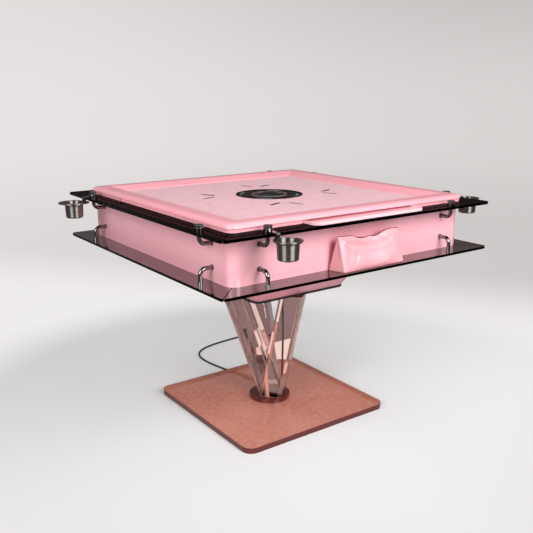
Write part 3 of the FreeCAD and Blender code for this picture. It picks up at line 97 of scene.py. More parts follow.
class Look:
    """A material with one Principled shader and a few nodes before it."""

    def __init__(self, name, colour, rough, metal=0.0, **sockets):
        self.material = bpy.data.materials.new(name)
        self.material.use_nodes = True
        self.tree = self.material.node_tree
        self.shader = self.tree.nodes["Principled BSDF"]
        self.shader.inputs["Base Color"].default_value = colour
        self.shader.inputs["Roughness"].default_value = rough
        self.shader.inputs["Metallic"].default_value = metal
        for key, value in sockets.items():
            self.shader.inputs[key.replace("_", " ")].default_value = value
        self.last_normal = None

    def node(self, kind, **settings):
        made = self.tree.nodes.new(kind)
        for key, value in settings.items():
            setattr(made, key, value)
        return made

    def link(self, output, target):
        self.tree.links.new(output, target)

    def place(self, scale=(1, 1, 1)):
        coords = self.node("ShaderNodeTexCoord")
        mapping = self.node("ShaderNodeMapping")
        mapping.inputs["Scale"].default_value = scale
        self.link(coords.outputs["Object"], mapping.inputs["Vector"])
        return mapping.outputs["Vector"]

    def noise(self, scale, detail=3.0, stretch=(1, 1, 1)):
        made = self.node("ShaderNodeTexNoise")
        made.inputs["Scale"].default_value = scale
        made.inputs["Detail"].default_value = detail
        self.link(self.place(stretch), made.inputs["Vector"])
        return made.outputs["Fac"]

    def ramp(self, value, low=0.0, high=1.0, first=0.0, last=1.0):
        """Turns low to high into first to last, and keeps to those two beyond."""
        made = self.node("ShaderNodeMapRange")
        for socket, amount in (("From Min", low), ("From Max", high), ("To Min", first), ("To Max", last)):
            made.inputs[socket].default_value = amount
        self.link(value, made.inputs["Value"])
        return made.outputs["Result"]

    def blend_colour(self, share, other):
        """Blends the base colour towards another one."""
        mix = self.node("ShaderNodeMix", data_type="RGBA")
        source = self.shader.inputs["Base Color"]
        if source.is_linked:
            self.link(source.links[0].from_socket, mix.inputs[MIX_FIRST])
        else:
            mix.inputs[MIX_FIRST].default_value = source.default_value
        mix.inputs[MIX_SECOND].default_value = other
        self.link(share, mix.inputs[MIX_SHARE])
        self.link(mix.outputs[MIX_RESULT], source)

    def vary_colour(self, pattern, other, low=0.35, high=0.65):
        self.blend_colour(self.ramp(pattern, low, high), other)

    def vary_rough(self, pattern, low, high):
        self.link(self.ramp(pattern, first=low, last=high), self.shader.inputs["Roughness"])

    def use_normal(self, normal):
        self.last_normal = normal
        self.link(normal, self.shader.inputs["Normal"])

    def bump(self, height, strength, distance):
        made = self.node("ShaderNodeBump")
        made.inputs["Strength"].default_value = strength
        made.inputs["Distance"].default_value = distance
        self.link(height, made.inputs["Height"])
        if self.last_normal is not None:
            self.link(self.last_normal, made.inputs["Normal"])
        self.use_normal(made.outputs["Normal"])

    def rounded_normal(self, radius, samples):
        made = self.node("ShaderNodeBevel", samples=samples)
        made.inputs["Radius"].default_value = radius
        return made.outputs["Normal"]

    def soft_edges(self, radius):
        self.use_normal(self.rounded_normal(radius, BEVEL_SAMPLES))

    def flatness(self, radius, samples):
        """1 on flat faces and less along edges, where the rounded normal turns away from the face's own."""
        dot = self.node("ShaderNodeVectorMath", operation="DOT_PRODUCT")
        self.link(self.rounded_normal(radius, samples), dot.inputs[0])
        self.link(self.node("ShaderNodeNewGeometry").outputs["Normal"], dot.inputs[1])
        return dot.outputs["Value"]

    # Blends the edges towards another colour: real wear on the steel and dark metal, a painted highlight on the rim,
    # the tray and the maroon pieces
    def edge_wear_and_highlight(self, radius, other, strength=0.6):
        self.blend_colour(self.ramp(self.flatness(radius, BEVEL_SAMPLES), 0.98, 0.80, 0.0, strength), other)

    def edge_share(self, radius, flat, edge):
        """0 where the flatness is flat or more, and 1 where it is edge or less."""
        return self.ramp(self.flatness(radius, FINE_BEVEL_SAMPLES), flat, edge)

    def upright_share(self):
        """1 on upright faces such as a pane's polished edge, 0 on level ones."""
        split = self.node("ShaderNodeSeparateXYZ")
        self.link(self.node("ShaderNodeNewGeometry").outputs["Normal"], split.inputs[0])
        size = self.node("ShaderNodeMath", operation="ABSOLUTE")
        self.link(split.outputs["Z"], size.inputs[0])
        return self.ramp(size.outputs[0], 0.75, 0.45)


def pink_paint():
    look = Look("pink_paint", linear(250, 182, 192), 0.30, Coat_Weight=1.0, Coat_Roughness=0.03)
    look.vary_colour(look.noise(2.2), linear(246, 174, 185))
    look.soft_edges(0.0015)
    look.bump(look.noise(260.0, 2.0), 0.05, 0.0004)
    return look.material


# The tub's paint: the pink paint made darker, painted shade
def shaded_tub_paint():
    look = Look("shaded_tub_paint", linear(222, 150, 160), 0.34, Coat_Weight=0.6, Coat_Roughness=0.05)
    look.vary_colour(look.noise(2.6), linear(212, 140, 150))
    look.soft_edges(0.0012)
    return look.material


def pink_rim():
    look = Look("pink_rim", linear(248, 170, 180), 0.30, Coat_Weight=0.35, Coat_Roughness=0.10)
    look.vary_colour(look.noise(3.0), linear(243, 162, 173))
    # Paler edges: a painted highlight
    look.edge_wear_and_highlight(0.003, linear(255, 214, 220), 0.5)
    look.bump(look.noise(420.0, 2.0), 0.12, 0.0003)
    return look.material


def pink_cloth():
    look = Look("pink_cloth", linear(222, 174, 181), 0.85, Sheen_Weight=0.1, Sheen_Roughness=0.5)
    look.vary_colour(look.noise(34.0, 6.0), linear(214, 163, 171), 0.3, 0.7)
    for way in ("X", "Y"):
        threads = look.node("ShaderNodeTexWave", wave_type="BANDS", bands_direction=way)
        threads.inputs["Scale"].default_value = 430.0
        threads.inputs["Distortion"].default_value = 0.6
        look.link(look.place(), threads.inputs["Vector"])
        look.bump(threads.outputs["Fac"], 0.25, 0.0003)
    look.bump(look.noise(900.0, 4.0), 0.3, 0.0004)
    return look.material


def pink_leather():
    look = Look("pink_leather", linear(244, 172, 180), 0.36, Coat_Weight=0.25, Coat_Roughness=0.22)
    look.vary_colour(look.noise(14.0, 5.0), linear(236, 160, 169))
    cells = look.node("ShaderNodeTexVoronoi", feature="DISTANCE_TO_EDGE")
    cells.inputs["Scale"].default_value = 520.0
    look.link(look.place(), cells.inputs["Vector"])
    look.bump(cells.outputs["Distance"], 0.25, 0.0006)
    look.bump(look.noise(36.0, 5.0), 0.25, 0.004)
    return look.material


def tray_plastic():
    look = Look("tray_plastic", linear(246, 194, 200), 0.36, Coat_Weight=0.2, Coat_Roughness=0.15)
    look.vary_colour(look.noise(5.0), linear(241, 186, 192))
    # Paler edges, the bright front edge among them: a painted highlight
    look.edge_wear_and_highlight(0.0012, linear(252, 214, 218), 0.8)
    return look.material


def pane(name, colour, ior, roughest):
    """Coloured glass, with a black mirror along its upright edges."""
    look = Look(name, colour, 0.03, IOR=ior)
    edge = look.upright_share()
    look.blend_colour(edge, linear(3, 3, 3))
    look.link(edge, look.shader.inputs["Metallic"])
    look.vary_rough(look.noise(6.0), 0.02, roughest)
    return look.material


def clear_acrylic(name, colour, painted_edge_highlight):
    """Polished clear bars, painted paler pink and less clear along their cut edges: a painted highlight."""
    look = Look(name, colour, 0.015, Transmission_Weight=1.0, IOR=1.49)
    look.vary_rough(look.noise(9.0), 0.0, 0.03)
    edge = look.edge_share(0.0038, 0.998, 0.955)
    look.blend_colour(edge, painted_edge_highlight)
    look.link(look.ramp(edge, first=1.0, last=0.3), look.shader.inputs["Transmission Weight"])
    return look.material


def plate_acrylic():
    """Tinted and half seen through from above, nearly solid along its cut edge."""
    look = Look("acrylic_base", linear(236, 150, 126), 0.05, IOR=1.45, Alpha=0.6)
    look.vary_colour(look.noise(5.0, 4.0), linear(218, 128, 104))
    look.vary_colour(look.noise(60.0, 5.0), linear(240, 164, 142), 0.45, 0.75)
    look.blend_colour(look.edge_share(0.004, 0.995, 0.90), linear(84, 24, 22))
    upright = look.upright_share()
    look.blend_colour(upright, linear(92, 34, 32))
    look.link(look.ramp(upright, first=0.6, last=0.96), look.shader.inputs["Alpha"])
    look.bump(look.noise(46.0, 2.0), 0.04, 0.0005)
    return look.material


def chrome():
    look = Look("chrome", linear(132, 129, 128), 0.06, 1.0)
    look.vary_rough(look.noise(40.0), 0.03, 0.10)
    return look.material


def cup_steel():
    look = Look("cup_steel", linear(150, 144, 138), 0.34, 1.0, Anisotropic=1.0, Anisotropic_Rotation=0.25)
    turned = look.node("ShaderNodeTangent", direction_type="RADIAL", axis="Z")
    look.link(turned.outputs["Tangent"], look.shader.inputs["Tangent"])
    look.vary_rough(look.noise(60.0, 3.0, (1, 1, 14)), 0.28, 0.38)
    look.bump(look.noise(900.0, 2.0, (0.2, 0.2, 4.0)), 0.03, 0.0001)
    return look.material


def sheet_steel():
    look = Look("sheet_steel", linear(150, 151, 153), 0.42, 0.9)
    look.vary_rough(look.noise(24.0, 4.0, (1, 12, 1)), 0.32, 0.52)
    look.edge_wear_and_highlight(0.0015, linear(196, 197, 199), 0.6)
    return look.material


def dark_metal():
    look = Look("dark_metal", linear(52, 52, 55), 0.34, 0.35)
    look.vary_rough(look.noise(30.0), 0.28, 0.45)
    look.edge_wear_and_highlight(0.0012, linear(120, 118, 118), 0.7)
    return look.material


def maroon_gloss():
    look = Look("maroon_gloss", linear(84, 24, 22), 0.12, Coat_Weight=0.6, Coat_Roughness=0.04)
    look.vary_colour(look.noise(16.0), linear(104, 34, 28))
    # Orange-red edges: a painted highlight
    look.edge_wear_and_highlight(0.0015, linear(168, 84, 72), 0.7)
    return look.material


def black_gloss():
    look = Look("black_gloss", linear(7, 6, 7), 0.16, IOR=1.08)
    look.vary_rough(look.noise(20.0), 0.12, 0.22)
    look.soft_edges(0.0006)
    return look.material


def black_matt():
    look = Look("black_matt", linear(38, 38, 40), 0.55)
    look.vary_colour(look.noise(18.0), linear(46, 46, 48))
    look.bump(look.noise(700.0, 3.0), 0.2, 0.0003)
    return look.material


def cord_rubber():
    look = Look("cord_rubber", linear(24, 24, 26), 0.45)
    look.vary_colour(look.noise(40.0), linear(34, 34, 36))
    look.bump(look.noise(900.0, 2.0), 0.15, 0.0002)
    return look.material


def belt_rubber():
    look = Look("belt_rubber", linear(30, 30, 30), 0.7)
    look.bump(look.noise(500.0, 3.0), 0.3, 0.0004)
    look.vary_colour(look.noise(60.0), linear(44, 44, 44))
    return look.material


def grey_plastic():
    look = Look("grey_plastic", linear(118, 121, 124), 0.5)
    look.vary_colour(look.noise(9.0), linear(104, 107, 110))
    look.bump(look.noise(600.0, 3.0), 0.2, 0.0003)
    return look.material


def ivory_plastic():
    look = Look("ivory_plastic", linear(236, 231, 216), 0.25, Coat_Weight=0.3)
    look.vary_colour(look.noise(30.0), linear(228, 221, 204))
    look.soft_edges(0.001)
    return look.material


def smoked_glass():
    look = Look("smoked_glass", linear(46, 46, 49), 0.03, Transmission_Weight=0.85, IOR=1.42)
    look.vary_rough(look.noise(12.0), 0.02, 0.06)
    return look.material


def cast_aluminium():
    look = Look("cast_aluminium", linear(168, 169, 171), 0.45, 0.85)
    look.bump(look.noise(380.0, 3.0), 0.2, 0.0004)
    look.vary_rough(look.noise(20.0), 0.38, 0.55)
    return look.material


def circuit_green():
    ground = linear(28, 92, 52)
    look = Look("circuit_green", ground, 0.4)
    tracks = look.node("ShaderNodeTexBrick")
    tracks.inputs["Scale"].default_value = 90.0
    tracks.inputs["Color1"].default_value = ground
    tracks.inputs["Color2"].default_value = linear(34, 104, 60)
    tracks.inputs["Mortar"].default_value = linear(60, 136, 84)
    look.link(look.place(), tracks.inputs["Vector"])
    look.link(tracks.outputs["Color"], look.shader.inputs["Base Color"])
    return look.material


def plain_mark(name, colour, rough):
    look = Look(name, colour, rough)
    look.vary_rough(look.noise(80.0), rough - 0.08, rough + 0.08)
    return look.material


LOOKS = {
    "acrylic_base": plate_acrylic(),
    # The leg's second colour is a painted edge highlight
    "acrylic_leg": clear_acrylic("acrylic_leg", linear(252, 234, 231), linear(255, 180, 162)),
    "maroon_gloss": maroon_gloss(), "dark_metal": dark_metal(), "pink_gloss": pink_paint(),
    "pink_satin": pink_rim(), "pink_cloth": pink_cloth(), "pink_tray": tray_plastic(),
    "pink_leather": pink_leather(), "steel_sheet": sheet_steel(), "cup_steel": cup_steel(), "chrome": chrome(),
    "dark_glass": pane("dark_glass", linear(17, 8, 8), 1.02, 0.07),
    "tinted_glass": pane("tinted_glass", linear(56, 36, 36), 2.2, 0.06),
    "smoked_glass": smoked_glass(), "black_gloss": black_gloss(), "black_plastic": black_matt(),
    "ivory_plastic": ivory_plastic(), "grey_plastic": grey_plastic(), "rubber_black": belt_rubber(),
    "cord_rubber": cord_rubber(), "shaded_tub_paint": shaded_tub_paint(), "aluminium_case": cast_aluminium(),
    "board_green": circuit_green(),
}
# Pieces whose colour in the photograph differs from their record's slot: the tub takes a darker copy of the pink
# paint, which is painted shade, and the closed trays take the rim's look
SHADE_AND_TONE_SWAPS = {"chassis_tub": "shaded_tub_paint", "chip_tray_left": "pink_satin", "chip_tray_right": "pink_satin",
          "chip_tray_back": "pink_satin"}
for part in frame["record"]["subparts"]:
    for material_slot in nodes[part["node"]].material_slots:
        material_slot.material = LOOKS[SHADE_AND_TONE_SWAPS.get(part["node"], part["material_slot"])]

# Cord: down from the chassis, under the plate, over the floor and into its coil

CORD_R = 0.0035
CORD_Z = CORD_R + 0.0005
COIL_X, COIL_Y, COIL_R, COIL_PITCH = 0.362, 0.652, 0.046, 0.0079
COIL_TURNS, COIL_CLIMB = 5.15, 0.5
COIL_STEPS_PER_TURN = 16
COIL_LEAD_OUT = 0.007
CORD_ROUTE = [
    (0.0620, -0.0080, 0.4100), (0.0630, -0.0095, 0.3450), (0.0650, -0.0090, 0.2650), (0.0645, -0.0075, 0.1850),
    (0.0625, -0.0075, 0.1100), (0.0620, -0.0080, 0.0650), (0.0620, -0.0080, 0.0335), (0.0620, 0.0027, 0.0150),
    (0.0610, 0.0215, CORD_Z), (0.0570, 0.0600, CORD_Z), (0.0460, 0.1230, CORD_Z), (0.0410, 0.2160, CORD_Z),
    (0.0270, 0.2820, CORD_Z), (0.0150, 0.3220, CORD_Z), (0.0040, 0.3760, CORD_Z), (-0.0040, 0.4400, CORD_Z),
    (-0.0010, 0.5000, CORD_Z), (0.0240, 0.5480, CORD_Z), (0.0720, 0.5790, CORD_Z), (0.1350, 0.5940, CORD_Z),
    (0.2050, 0.6010, CORD_Z), (0.2700, 0.6050, CORD_Z), (0.3180, 0.6060, CORD_Z),
]


def coil_point(turn):
    """The turns wind inwards on one layer, climb, and wind outwards again on the next."""
    middle = COIL_TURNS / 2
    away = abs(turn - middle)
    radius = COIL_R - COIL_PITCH * (middle - away)
    share = min(max((turn - middle) / COIL_CLIMB + 0.5, 0.0), 1.0)
    rise = share * share * (3 - 2 * share)
    angle = 2 * math.pi * turn - math.pi / 2
    return Vector((COIL_X + radius * math.cos(angle), COIL_Y + radius * math.sin(angle), CORD_Z + rise * COIL_PITCH))


def cord_points():
    points = [Vector(point) for point in CORD_ROUTE]
    steps = int(COIL_TURNS * COIL_STEPS_PER_TURN)
    points += [coil_point(COIL_TURNS * index / steps) for index in range(steps + 1)]
    heading = (coil_point(COIL_TURNS) - coil_point(COIL_TURNS - 0.002)).normalized()
    points.append(points[-1] + heading * COIL_LEAD_OUT)
    return points


def make_cord():
    curve = bpy.data.curves.new("power_cord_line", "CURVE")
    curve.dimensions = "3D"
    curve.bevel_depth = CORD_R
    curve.bevel_resolution = 5
    curve.use_fill_caps = True
    points = cord_points()
    spline = curve.splines.new("NURBS")
    spline.points.add(len(points) - 1)
    for point, place in zip(spline.points, points):
        point.co = (place.x, place.y, place.z, 1.0)
    spline.order_u = 3
    spline.use_endpoint_u = True
    spline.resolution_u = 6
    curve.materials.append(LOOKS["cord_rubber"])
    piece = bpy.data.objects.new("power_lead", curve)
    scene.collection.objects.link(piece)
    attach(piece, "table")
    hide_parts("power_cord", "cord_coil")


make_cord()


# Coil's tie: a flat strap round the turns

TIE_BEARING_DEG = 200
TIE_INNER, TIE_OUTER, TIE_LOW, TIE_HIGH = 0.0212, 0.0503, 0.0001, 0.0163
TIE_HALF_WIDTH, TIE_THICK, TIE_FOOT_THICK = 0.005, 0.0006, 0.0003
TIE_CORNER, TIE_LOW_CORNER, TIE_CORNER_STEPS = 0.003, 0.002, 4


def tie_outline():
    """The strap's outer line, as pairs of distance from the coil's middle and height."""
    loop = []
    corners = ((TIE_INNER, TIE_LOW, 1, 180), (TIE_OUTER, TIE_LOW, -1, 270),
               (TIE_OUTER, TIE_HIGH, -1, 0), (TIE_INNER, TIE_HIGH, 1, 90))
    for r, z, inwards, start in corners:
        height = TIE_LOW_CORNER if z == TIE_LOW else TIE_CORNER
        middle_r = r + inwards * TIE_CORNER
        middle_z = z + height if z == TIE_LOW else z - height
        for step in range(TIE_CORNER_STEPS + 1):
            turn = math.radians(start + 90 * step / TIE_CORNER_STEPS)
            loop.append((middle_r + TIE_CORNER * math.cos(turn), middle_z + height * math.sin(turn)))
    return loop


def make_tie():
    angle = math.radians(TIE_BEARING_DEG)
    outward = Vector((math.cos(angle), math.sin(angle), 0))
    along = Vector((-math.sin(angle), math.cos(angle), 0))
    centre = Vector((COIL_X, COIL_Y, 0))
    middle_r, middle_z = (TIE_INNER + TIE_OUTER) / 2, (TIE_LOW + TIE_HIGH) / 2
    loop = tie_outline()
    verts, faces = [], []
    rings = ((-TIE_HALF_WIDTH, False), (TIE_HALF_WIDTH, False), (TIE_HALF_WIDTH, True), (-TIE_HALF_WIDTH, True))
    for shift, inside in rings:
        for r, z in loop:
            if inside:
                r -= math.copysign(TIE_THICK, r - middle_r)
                z = z - TIE_THICK if z > middle_z else z + TIE_FOOT_THICK
            verts.append(centre + outward * r + along * shift + Vector((0, 0, z)))
    count = len(loop)
    for side in range(len(rings)):
        here, there = side * count, (side + 1) % len(rings) * count
        for index in range(count):
            after = (index + 1) % count
            faces.append((here + index, here + after, there + after, there + index))
    add_mesh("cord_tie", verts, faces, LOOKS["black_plastic"], "table")


make_tie()

# Pouch: a soft bag with boxed ends, a slit in its top seam and a few folds

POUCH_FLOOR = 0.5967
POUCH_TOP_LEFT, POUCH_TOP_WIDTH = -0.106, 0.231
POUCH_FOOT_LEFT, POUCH_FOOT_WIDTH = -0.1150, 0.2470
POUCH_TUCK, POUCH_TUCK_SPAN = 0.016, 0.25      # the front's left foot is drawn in, over this share of the width
SLIT_MIDDLE, SLIT_SPAN, SLIT_DEPTH, SLIT_LIP = -0.022, 0.024, 0.0062, 0.0034
POUCH_FRONT_LIMIT = -0.5035
END_HOLLOW = 0.0035
END_SPAN = 0.15                                # share of the width over which each end fills out
LEATHER_THICK = 0.0018
WELD = 0.0004
# The top seam's height along x; then how far the front and the back stand from the table's middle, top to foot
POUCH_TOP = ((-0.106, 0.6960), (-0.090, 0.6948), (-0.074, 0.6945), (-0.045, 0.6930), (-0.016, 0.6905),
             (0.010, 0.6850), (0.031, 0.6820), (0.048, 0.6850), (0.063, 0.6905), (0.082, 0.6955), (0.100, 0.6965),
             (0.125, 0.6950))
POUCH_FRONT = ((0.0, 0.4722), (0.10, 0.4765), (0.24, 0.4860), (0.42, 0.4955), (0.62, 0.4995), (0.84, 0.4990),
               (1.0, 0.4960))
POUCH_BACK = ((0.0, 0.4700), (0.10, 0.4668), (0.24, 0.4590), (0.42, 0.4515), (0.62, 0.4465), (0.84, 0.4452),
              (1.0, 0.4465))
# Each fold: its line on the front in x and z, its width, and its height, which is below zero for a hollow
POUCH_FOLDS = (
    (((-0.106, 0.696), (-0.092, 0.682), (-0.078, 0.668)), 0.0042, 0.0030),
    (((-0.078, 0.668), (-0.040, 0.664), (0.000, 0.656), (0.043, 0.658), (0.091, 0.670), (0.112, 0.689)),
     0.0075, 0.0052),
    (((-0.070, 0.660), (-0.030, 0.656)), 0.0150, 0.0040),
    (((-0.060, 0.622), (0.060, 0.618)), 0.0140, 0.0035),
    (((-0.052, 0.652), (-0.058, 0.630), (-0.070, 0.612)), 0.0040, -0.0026),
    (((0.060, 0.652), (0.078, 0.630), (0.094, 0.612)), 0.0050, -0.0022),
    (((-0.078, 0.668), (-0.077, 0.644), (-0.086, 0.618), (-0.091, 0.600)), 0.0060, 0.0030),
    (((-0.070, 0.652), (-0.060, 0.634), (-0.066, 0.616)), 0.0060, -0.0018),
    (((0.046, 0.684), (0.070, 0.674), (0.088, 0.660)), 0.0045, -0.0018),
    (((-0.050, 0.682), (-0.015, 0.676), (0.025, 0.672)), 0.0060, -0.0028),
    (((0.118, 0.690), (0.112, 0.655), (0.120, 0.615)), 0.0050, 0.0020),
    (((0.020, 0.640), (0.060, 0.632), (0.100, 0.640)), 0.0090, -0.0014),
    (((-0.040, 0.612), (0.010, 0.606), (0.060, 0.612)), 0.0070, 0.0010),
)


def along_table(table, at):
    """Reads a table of pairs, half straight and half eased between them."""
    if at <= table[0][0]:
        return table[0][1]
    for (x0, y0), (x1, y1) in zip(table, table[1:]):
        if at <= x1:
            share = (at - x0) / (x1 - x0)
            share = eased(share) * 0.5 + share * 0.5
            return y0 + (y1 - y0) * share
    return table[-1][1]


def fold_height(x, z):
    """How far the folds stand out of the front at a point."""
    total = 0.0
    for line, width, height in POUCH_FOLDS:
        best = math.inf
        for (ax, az), (bx, bz) in zip(line, line[1:]):
            share = ((x - ax) * (bx - ax) + (z - az) * (bz - az)) / ((bx - ax) ** 2 + (bz - az) ** 2)
            share = min(max(share, 0.0), 1.0)
            best = min(best, math.hypot(x - ax - share * (bx - ax), z - az - share * (bz - az)))
        total += height * math.exp(-(best / width) ** 2)
    return total


def eased(share):
    return share * share * (3 - 2 * share)


def pouch_point(u, t, front):
    """A point of the front or back panel; u runs along the bag and t down from its top."""
    x_top = POUCH_TOP_LEFT + u * POUCH_TOP_WIDTH
    x_foot = POUCH_FOOT_LEFT + u * POUCH_FOOT_WIDTH
    slit = math.exp(-((x_top - SLIT_MIDDLE) / SLIT_SPAN) ** 4)
    lip = slit * SLIT_LIP * max(1 - t / 0.12, 0.0)
    top = along_table(POUCH_TOP, x_top)
    if front:
        x_foot += POUCH_TUCK * max(1 - u / POUCH_TUCK_SPAN, 0.0)
        top -= SLIT_DEPTH * slit
    x = x_top + (x_foot - x_top) * t
    z = top + (POUCH_FLOOR - top) * t
    fullness = eased(min(min(u, 1 - u) / END_SPAN, 1.0))
    table = POUCH_FRONT if front else POUCH_BACK
    full = along_table(table, t)
    flat = table[0][1] + (table[-1][1] - table[0][1]) * t
    y = -(flat + (full - flat) * fullness)
    if front:
        fade = min(t / 0.06, 1.0) * min((1 - t) / 0.08, 1.0)
        y -= fold_height(x, z) * fade * (0.4 + 0.6 * fullness)
        y = max(y - lip * 0.6, POUCH_FRONT_LIMIT)
    else:
        y += lip * 0.4
    return Vector((x, y, z))


def make_pouch():
    columns, rows, across = 72, 26, 8
    mesh = bmesh.new()

    def grid(points):
        made = [[mesh.verts.new(p) for p in line] for line in points]
        for a, b in zip(made, made[1:]):
            for i in range(len(a) - 1):
                mesh.faces.new((a[i], a[i + 1], b[i + 1], b[i]))

    levels = [row / rows for row in range(rows + 1)]
    stations = [column / columns for column in range(columns + 1)]
    grid([[pouch_point(u, t, True) for t in levels] for u in stations])
    grid([[pouch_point(u, t, False) for t in reversed(levels)] for u in stations])
    foot = []
    for u in stations:
        a, b = pouch_point(u, 1.0, True), pouch_point(u, 1.0, False)
        foot.append([a.lerp(b, step / across) for step in range(across + 1)])
    grid(foot)
    for u, order in ((0.0, 1), (1.0, -1)):
        lines = []
        for t in levels:
            a, b = pouch_point(u, t, True), pouch_point(u, t, False)
            line = []
            for step in range(across + 1):
                share = step / across
                point = a.lerp(b, share)
                hollow = END_HOLLOW * math.sin(math.pi * share) * math.sin(math.pi * min(t * 1.1, 1.0))
                point.x += order * hollow
                line.append(point)
            lines.append(line[::order])
        grid(lines)
    bmesh.ops.remove_doubles(mesh, verts=mesh.verts[:], dist=WELD)
    bmesh.ops.recalc_face_normals(mesh, faces=mesh.faces[:])
    data = bpy.data.meshes.new("pouch_bag")
    mesh.to_mesh(data)
    mesh.free()
    data.materials.append(LOOKS["pink_leather"])
    data.polygons.foreach_set("use_smooth", [True] * len(data.polygons))
    piece = bpy.data.objects.new("pouch_bag", data)
    scene.collection.objects.link(piece)
    shell = piece.modifiers.new("leather", "SOLIDIFY")
    shell.thickness = LEATHER_THICK
    shell.offset = 1.0
    smooth = piece.modifiers.new("smooth", "SUBSURF")
    smooth.levels = 1
    smooth.render_levels = 1
    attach(piece, "table")
    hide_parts("storage_pouch")


make_pouch()


TAPE_STEPS = 60
TAPE_SECTION = ((-0.0016, -0.0022), (0.0006, -0.0010), (0.0006, 0.0016), (-0.0016, 0.0016))


def make_pouch_edge():
    """A thin dark tape along the bag's top seam."""
    verts, faces = [], []
    for column in range(TAPE_STEPS + 1):
        front, back = (pouch_point(column / TAPE_STEPS, 0.0, face) for face in (True, False))
        for shift_y, shift_z in TAPE_SECTION:
            verts.append((front.x, front.y + shift_y, max(front.z, back.z - SLIT_DEPTH) + shift_z))
    ring = len(TAPE_SECTION)
    for index in range(TAPE_STEPS):
        a, b = index * ring, (index + 1) * ring
        for k in range(ring):
            faces.append((a + k, a + (k + 1) % ring, b + (k + 1) % ring, b + k))
    faces += [tuple(range(ring)), tuple(range(len(verts) - 1, len(verts) - 1 - ring, -1))]
    add_mesh("pouch_edge", verts, faces, LOOKS["maroon_gloss"], "table")


make_pouch_edge()

# Marks on the cloth: two short foil strokes before each player

FELT_Z = 0.750
STROKE_WIDTH, STROKE_SINK, STROKE_HEIGHT, STROKE_STEPS = 0.0115, 0.0002, 0.0005, 6
STROKES = (("a", (0.085, 0.169), (0.126, 0.185)), ("b", (0.042, 0.228), (0.054, 0.188)))
DARK_FOIL = plain_mark("dark_foil", linear(14, 11, 16), 0.5)
PALE_FOIL = plain_mark("pale_foil", linear(116, 94, 100), 0.5)


def turned_quarters(x, y, quarters):
    for _ in range(quarters):
        x, y = -y, x
    return Vector((x, y, 0))


def stroke(name, a, b, material):
    """A thin bar with round ends, from a to b."""
    along = (b - a).normalized()
    across = Vector((-along.y, along.x, 0)) * STROKE_WIDTH / 2
    ring = []
    for centre, way in ((a, 1), (b, -1)):
        for step in range(STROKE_STEPS + 1):
            turn = math.pi * step / STROKE_STEPS
            ring.append(centre + across * math.cos(turn) * way - along * way * (STROKE_WIDTH / 2) * math.sin(turn))
    count = len(ring)
    level = FELT_Z - STROKE_SINK
    verts = [Vector((p.x, p.y, z)) for z in (level, level + STROKE_HEIGHT) for p in ring]
    faces = [tuple(range(count, 2 * count))]
    for index in range(count):
        after = (index + 1) % count
        faces.append((index, after, count + after, count + index))
    add_mesh(name, verts, faces, material, "table", smooth=False)


for quarters, side in enumerate(SIDES):
    for letter, a, b in STROKES:
        dark = (letter == "a") != (side == "left")
        stroke("cloth_mark_%s_%s" % (side, letter), turned_quarters(*a, quarters), turned_quarters(*b, quarters),
               DARK_FOIL if dark else PALE_FOIL)

# Console: a pale ring round the dome, whose flat pale grey stands in for a chrome trim's shine, a painted highlight;
# a dark flange; and printed marks before each player

PANEL_Z, PRINT_HEIGHT = 0.7499, 0.0003
RING_STEP_DEG = 6
DASH_INNER, DASH_OUTER, DASH_DEG, DASH_PITCH_DEG = 0.0640, 0.0680, 10, 13
FIRST_DASH_DEG, LINE_MIDDLE_DEG, LINE_WIDTH = 252, 315, 0.0012
PRINTED_LINES = ((0.0925, 34), (0.0970, 24))
RED_PRINT = plain_mark("red_light", linear(170, 42, 44), 0.4)
GREY_PRINT = plain_mark("grey_print", linear(186, 184, 184), 0.4)
RING_PAINTED_SHINE = plain_mark("ring_painted_shine", linear(132, 130, 130), 0.3)


def flat_ring(name, inner, outer, level, height, start, end, material):
    """A flat ring, or a part of one, round the table's axis; angles in degrees."""
    steps = max(int((end - start) / RING_STEP_DEG), 2)
    closed = end - start >= 360
    rounds = steps if closed else steps + 1
    verts, faces = [], []
    for index in range(rounds):
        turn = math.radians(start + (end - start) * index / steps)
        for r, z in ((inner, level), (outer, level), (outer, level + height), (inner, level + height)):
            verts.append((r * math.cos(turn), r * math.sin(turn), z))
    for index in range(steps):
        a, b = 4 * index, 4 * ((index + 1) % rounds)
        for k in range(4):
            faces.append((a + k, a + (k + 1) % 4, b + (k + 1) % 4, b + k))
    add_mesh(name, verts, faces, material, "console", smooth=False)


flat_ring("console_bezel", 0.0545, 0.0580, PANEL_Z, 0.0010, 0, 360, RING_PAINTED_SHINE)
flat_ring("console_flange", 0.1070, 0.1128, 0.7502, 0.0009, 0, 360, LOOKS["black_gloss"])
for quarters, side in enumerate(SIDES):
    for index in range(3):
        start = FIRST_DASH_DEG + 90 * quarters + DASH_PITCH_DEG * index
        flat_ring("console_dash_%s_%d" % (side, index), DASH_INNER, DASH_OUTER, PANEL_Z, PRINT_HEIGHT,
                  start, start + DASH_DEG, RED_PRINT)
    for index, (r, span) in enumerate(PRINTED_LINES):
        middle = LINE_MIDDLE_DEG + 90 * quarters
        flat_ring("console_line_%s_%d" % (side, index), r, r + LINE_WIDTH, PANEL_Z, PRINT_HEIGHT,
                  middle - span / 2, middle + span / 2, GREY_PRINT)

# Floor and backdrop: one sheet, whose tone as the camera sees it is set by place, and is darker to mirrors

FLOOR_RADIUS, CURVE_RADIUS, WALL_TOP, STAGE_SIDES, CURVE_STEPS = 3.4, 1.3, 4.6, 128, 16
MIRRORED_SHARE = 0.20     # strength of the sheet's glow in mirrored rays
SEEN_SHARE = 0.40         # and of the far part seen through clear pieces
VIEW_YAW = math.radians(VIEW_YAW_DEG)
UPWARD = Vector((0, 0, 1))
RIGHTWARD = Vector((math.cos(VIEW_YAW), math.sin(VIEW_YAW), 0))
FORWARD = Vector((-math.sin(VIEW_YAW), math.cos(VIEW_YAW), 0))


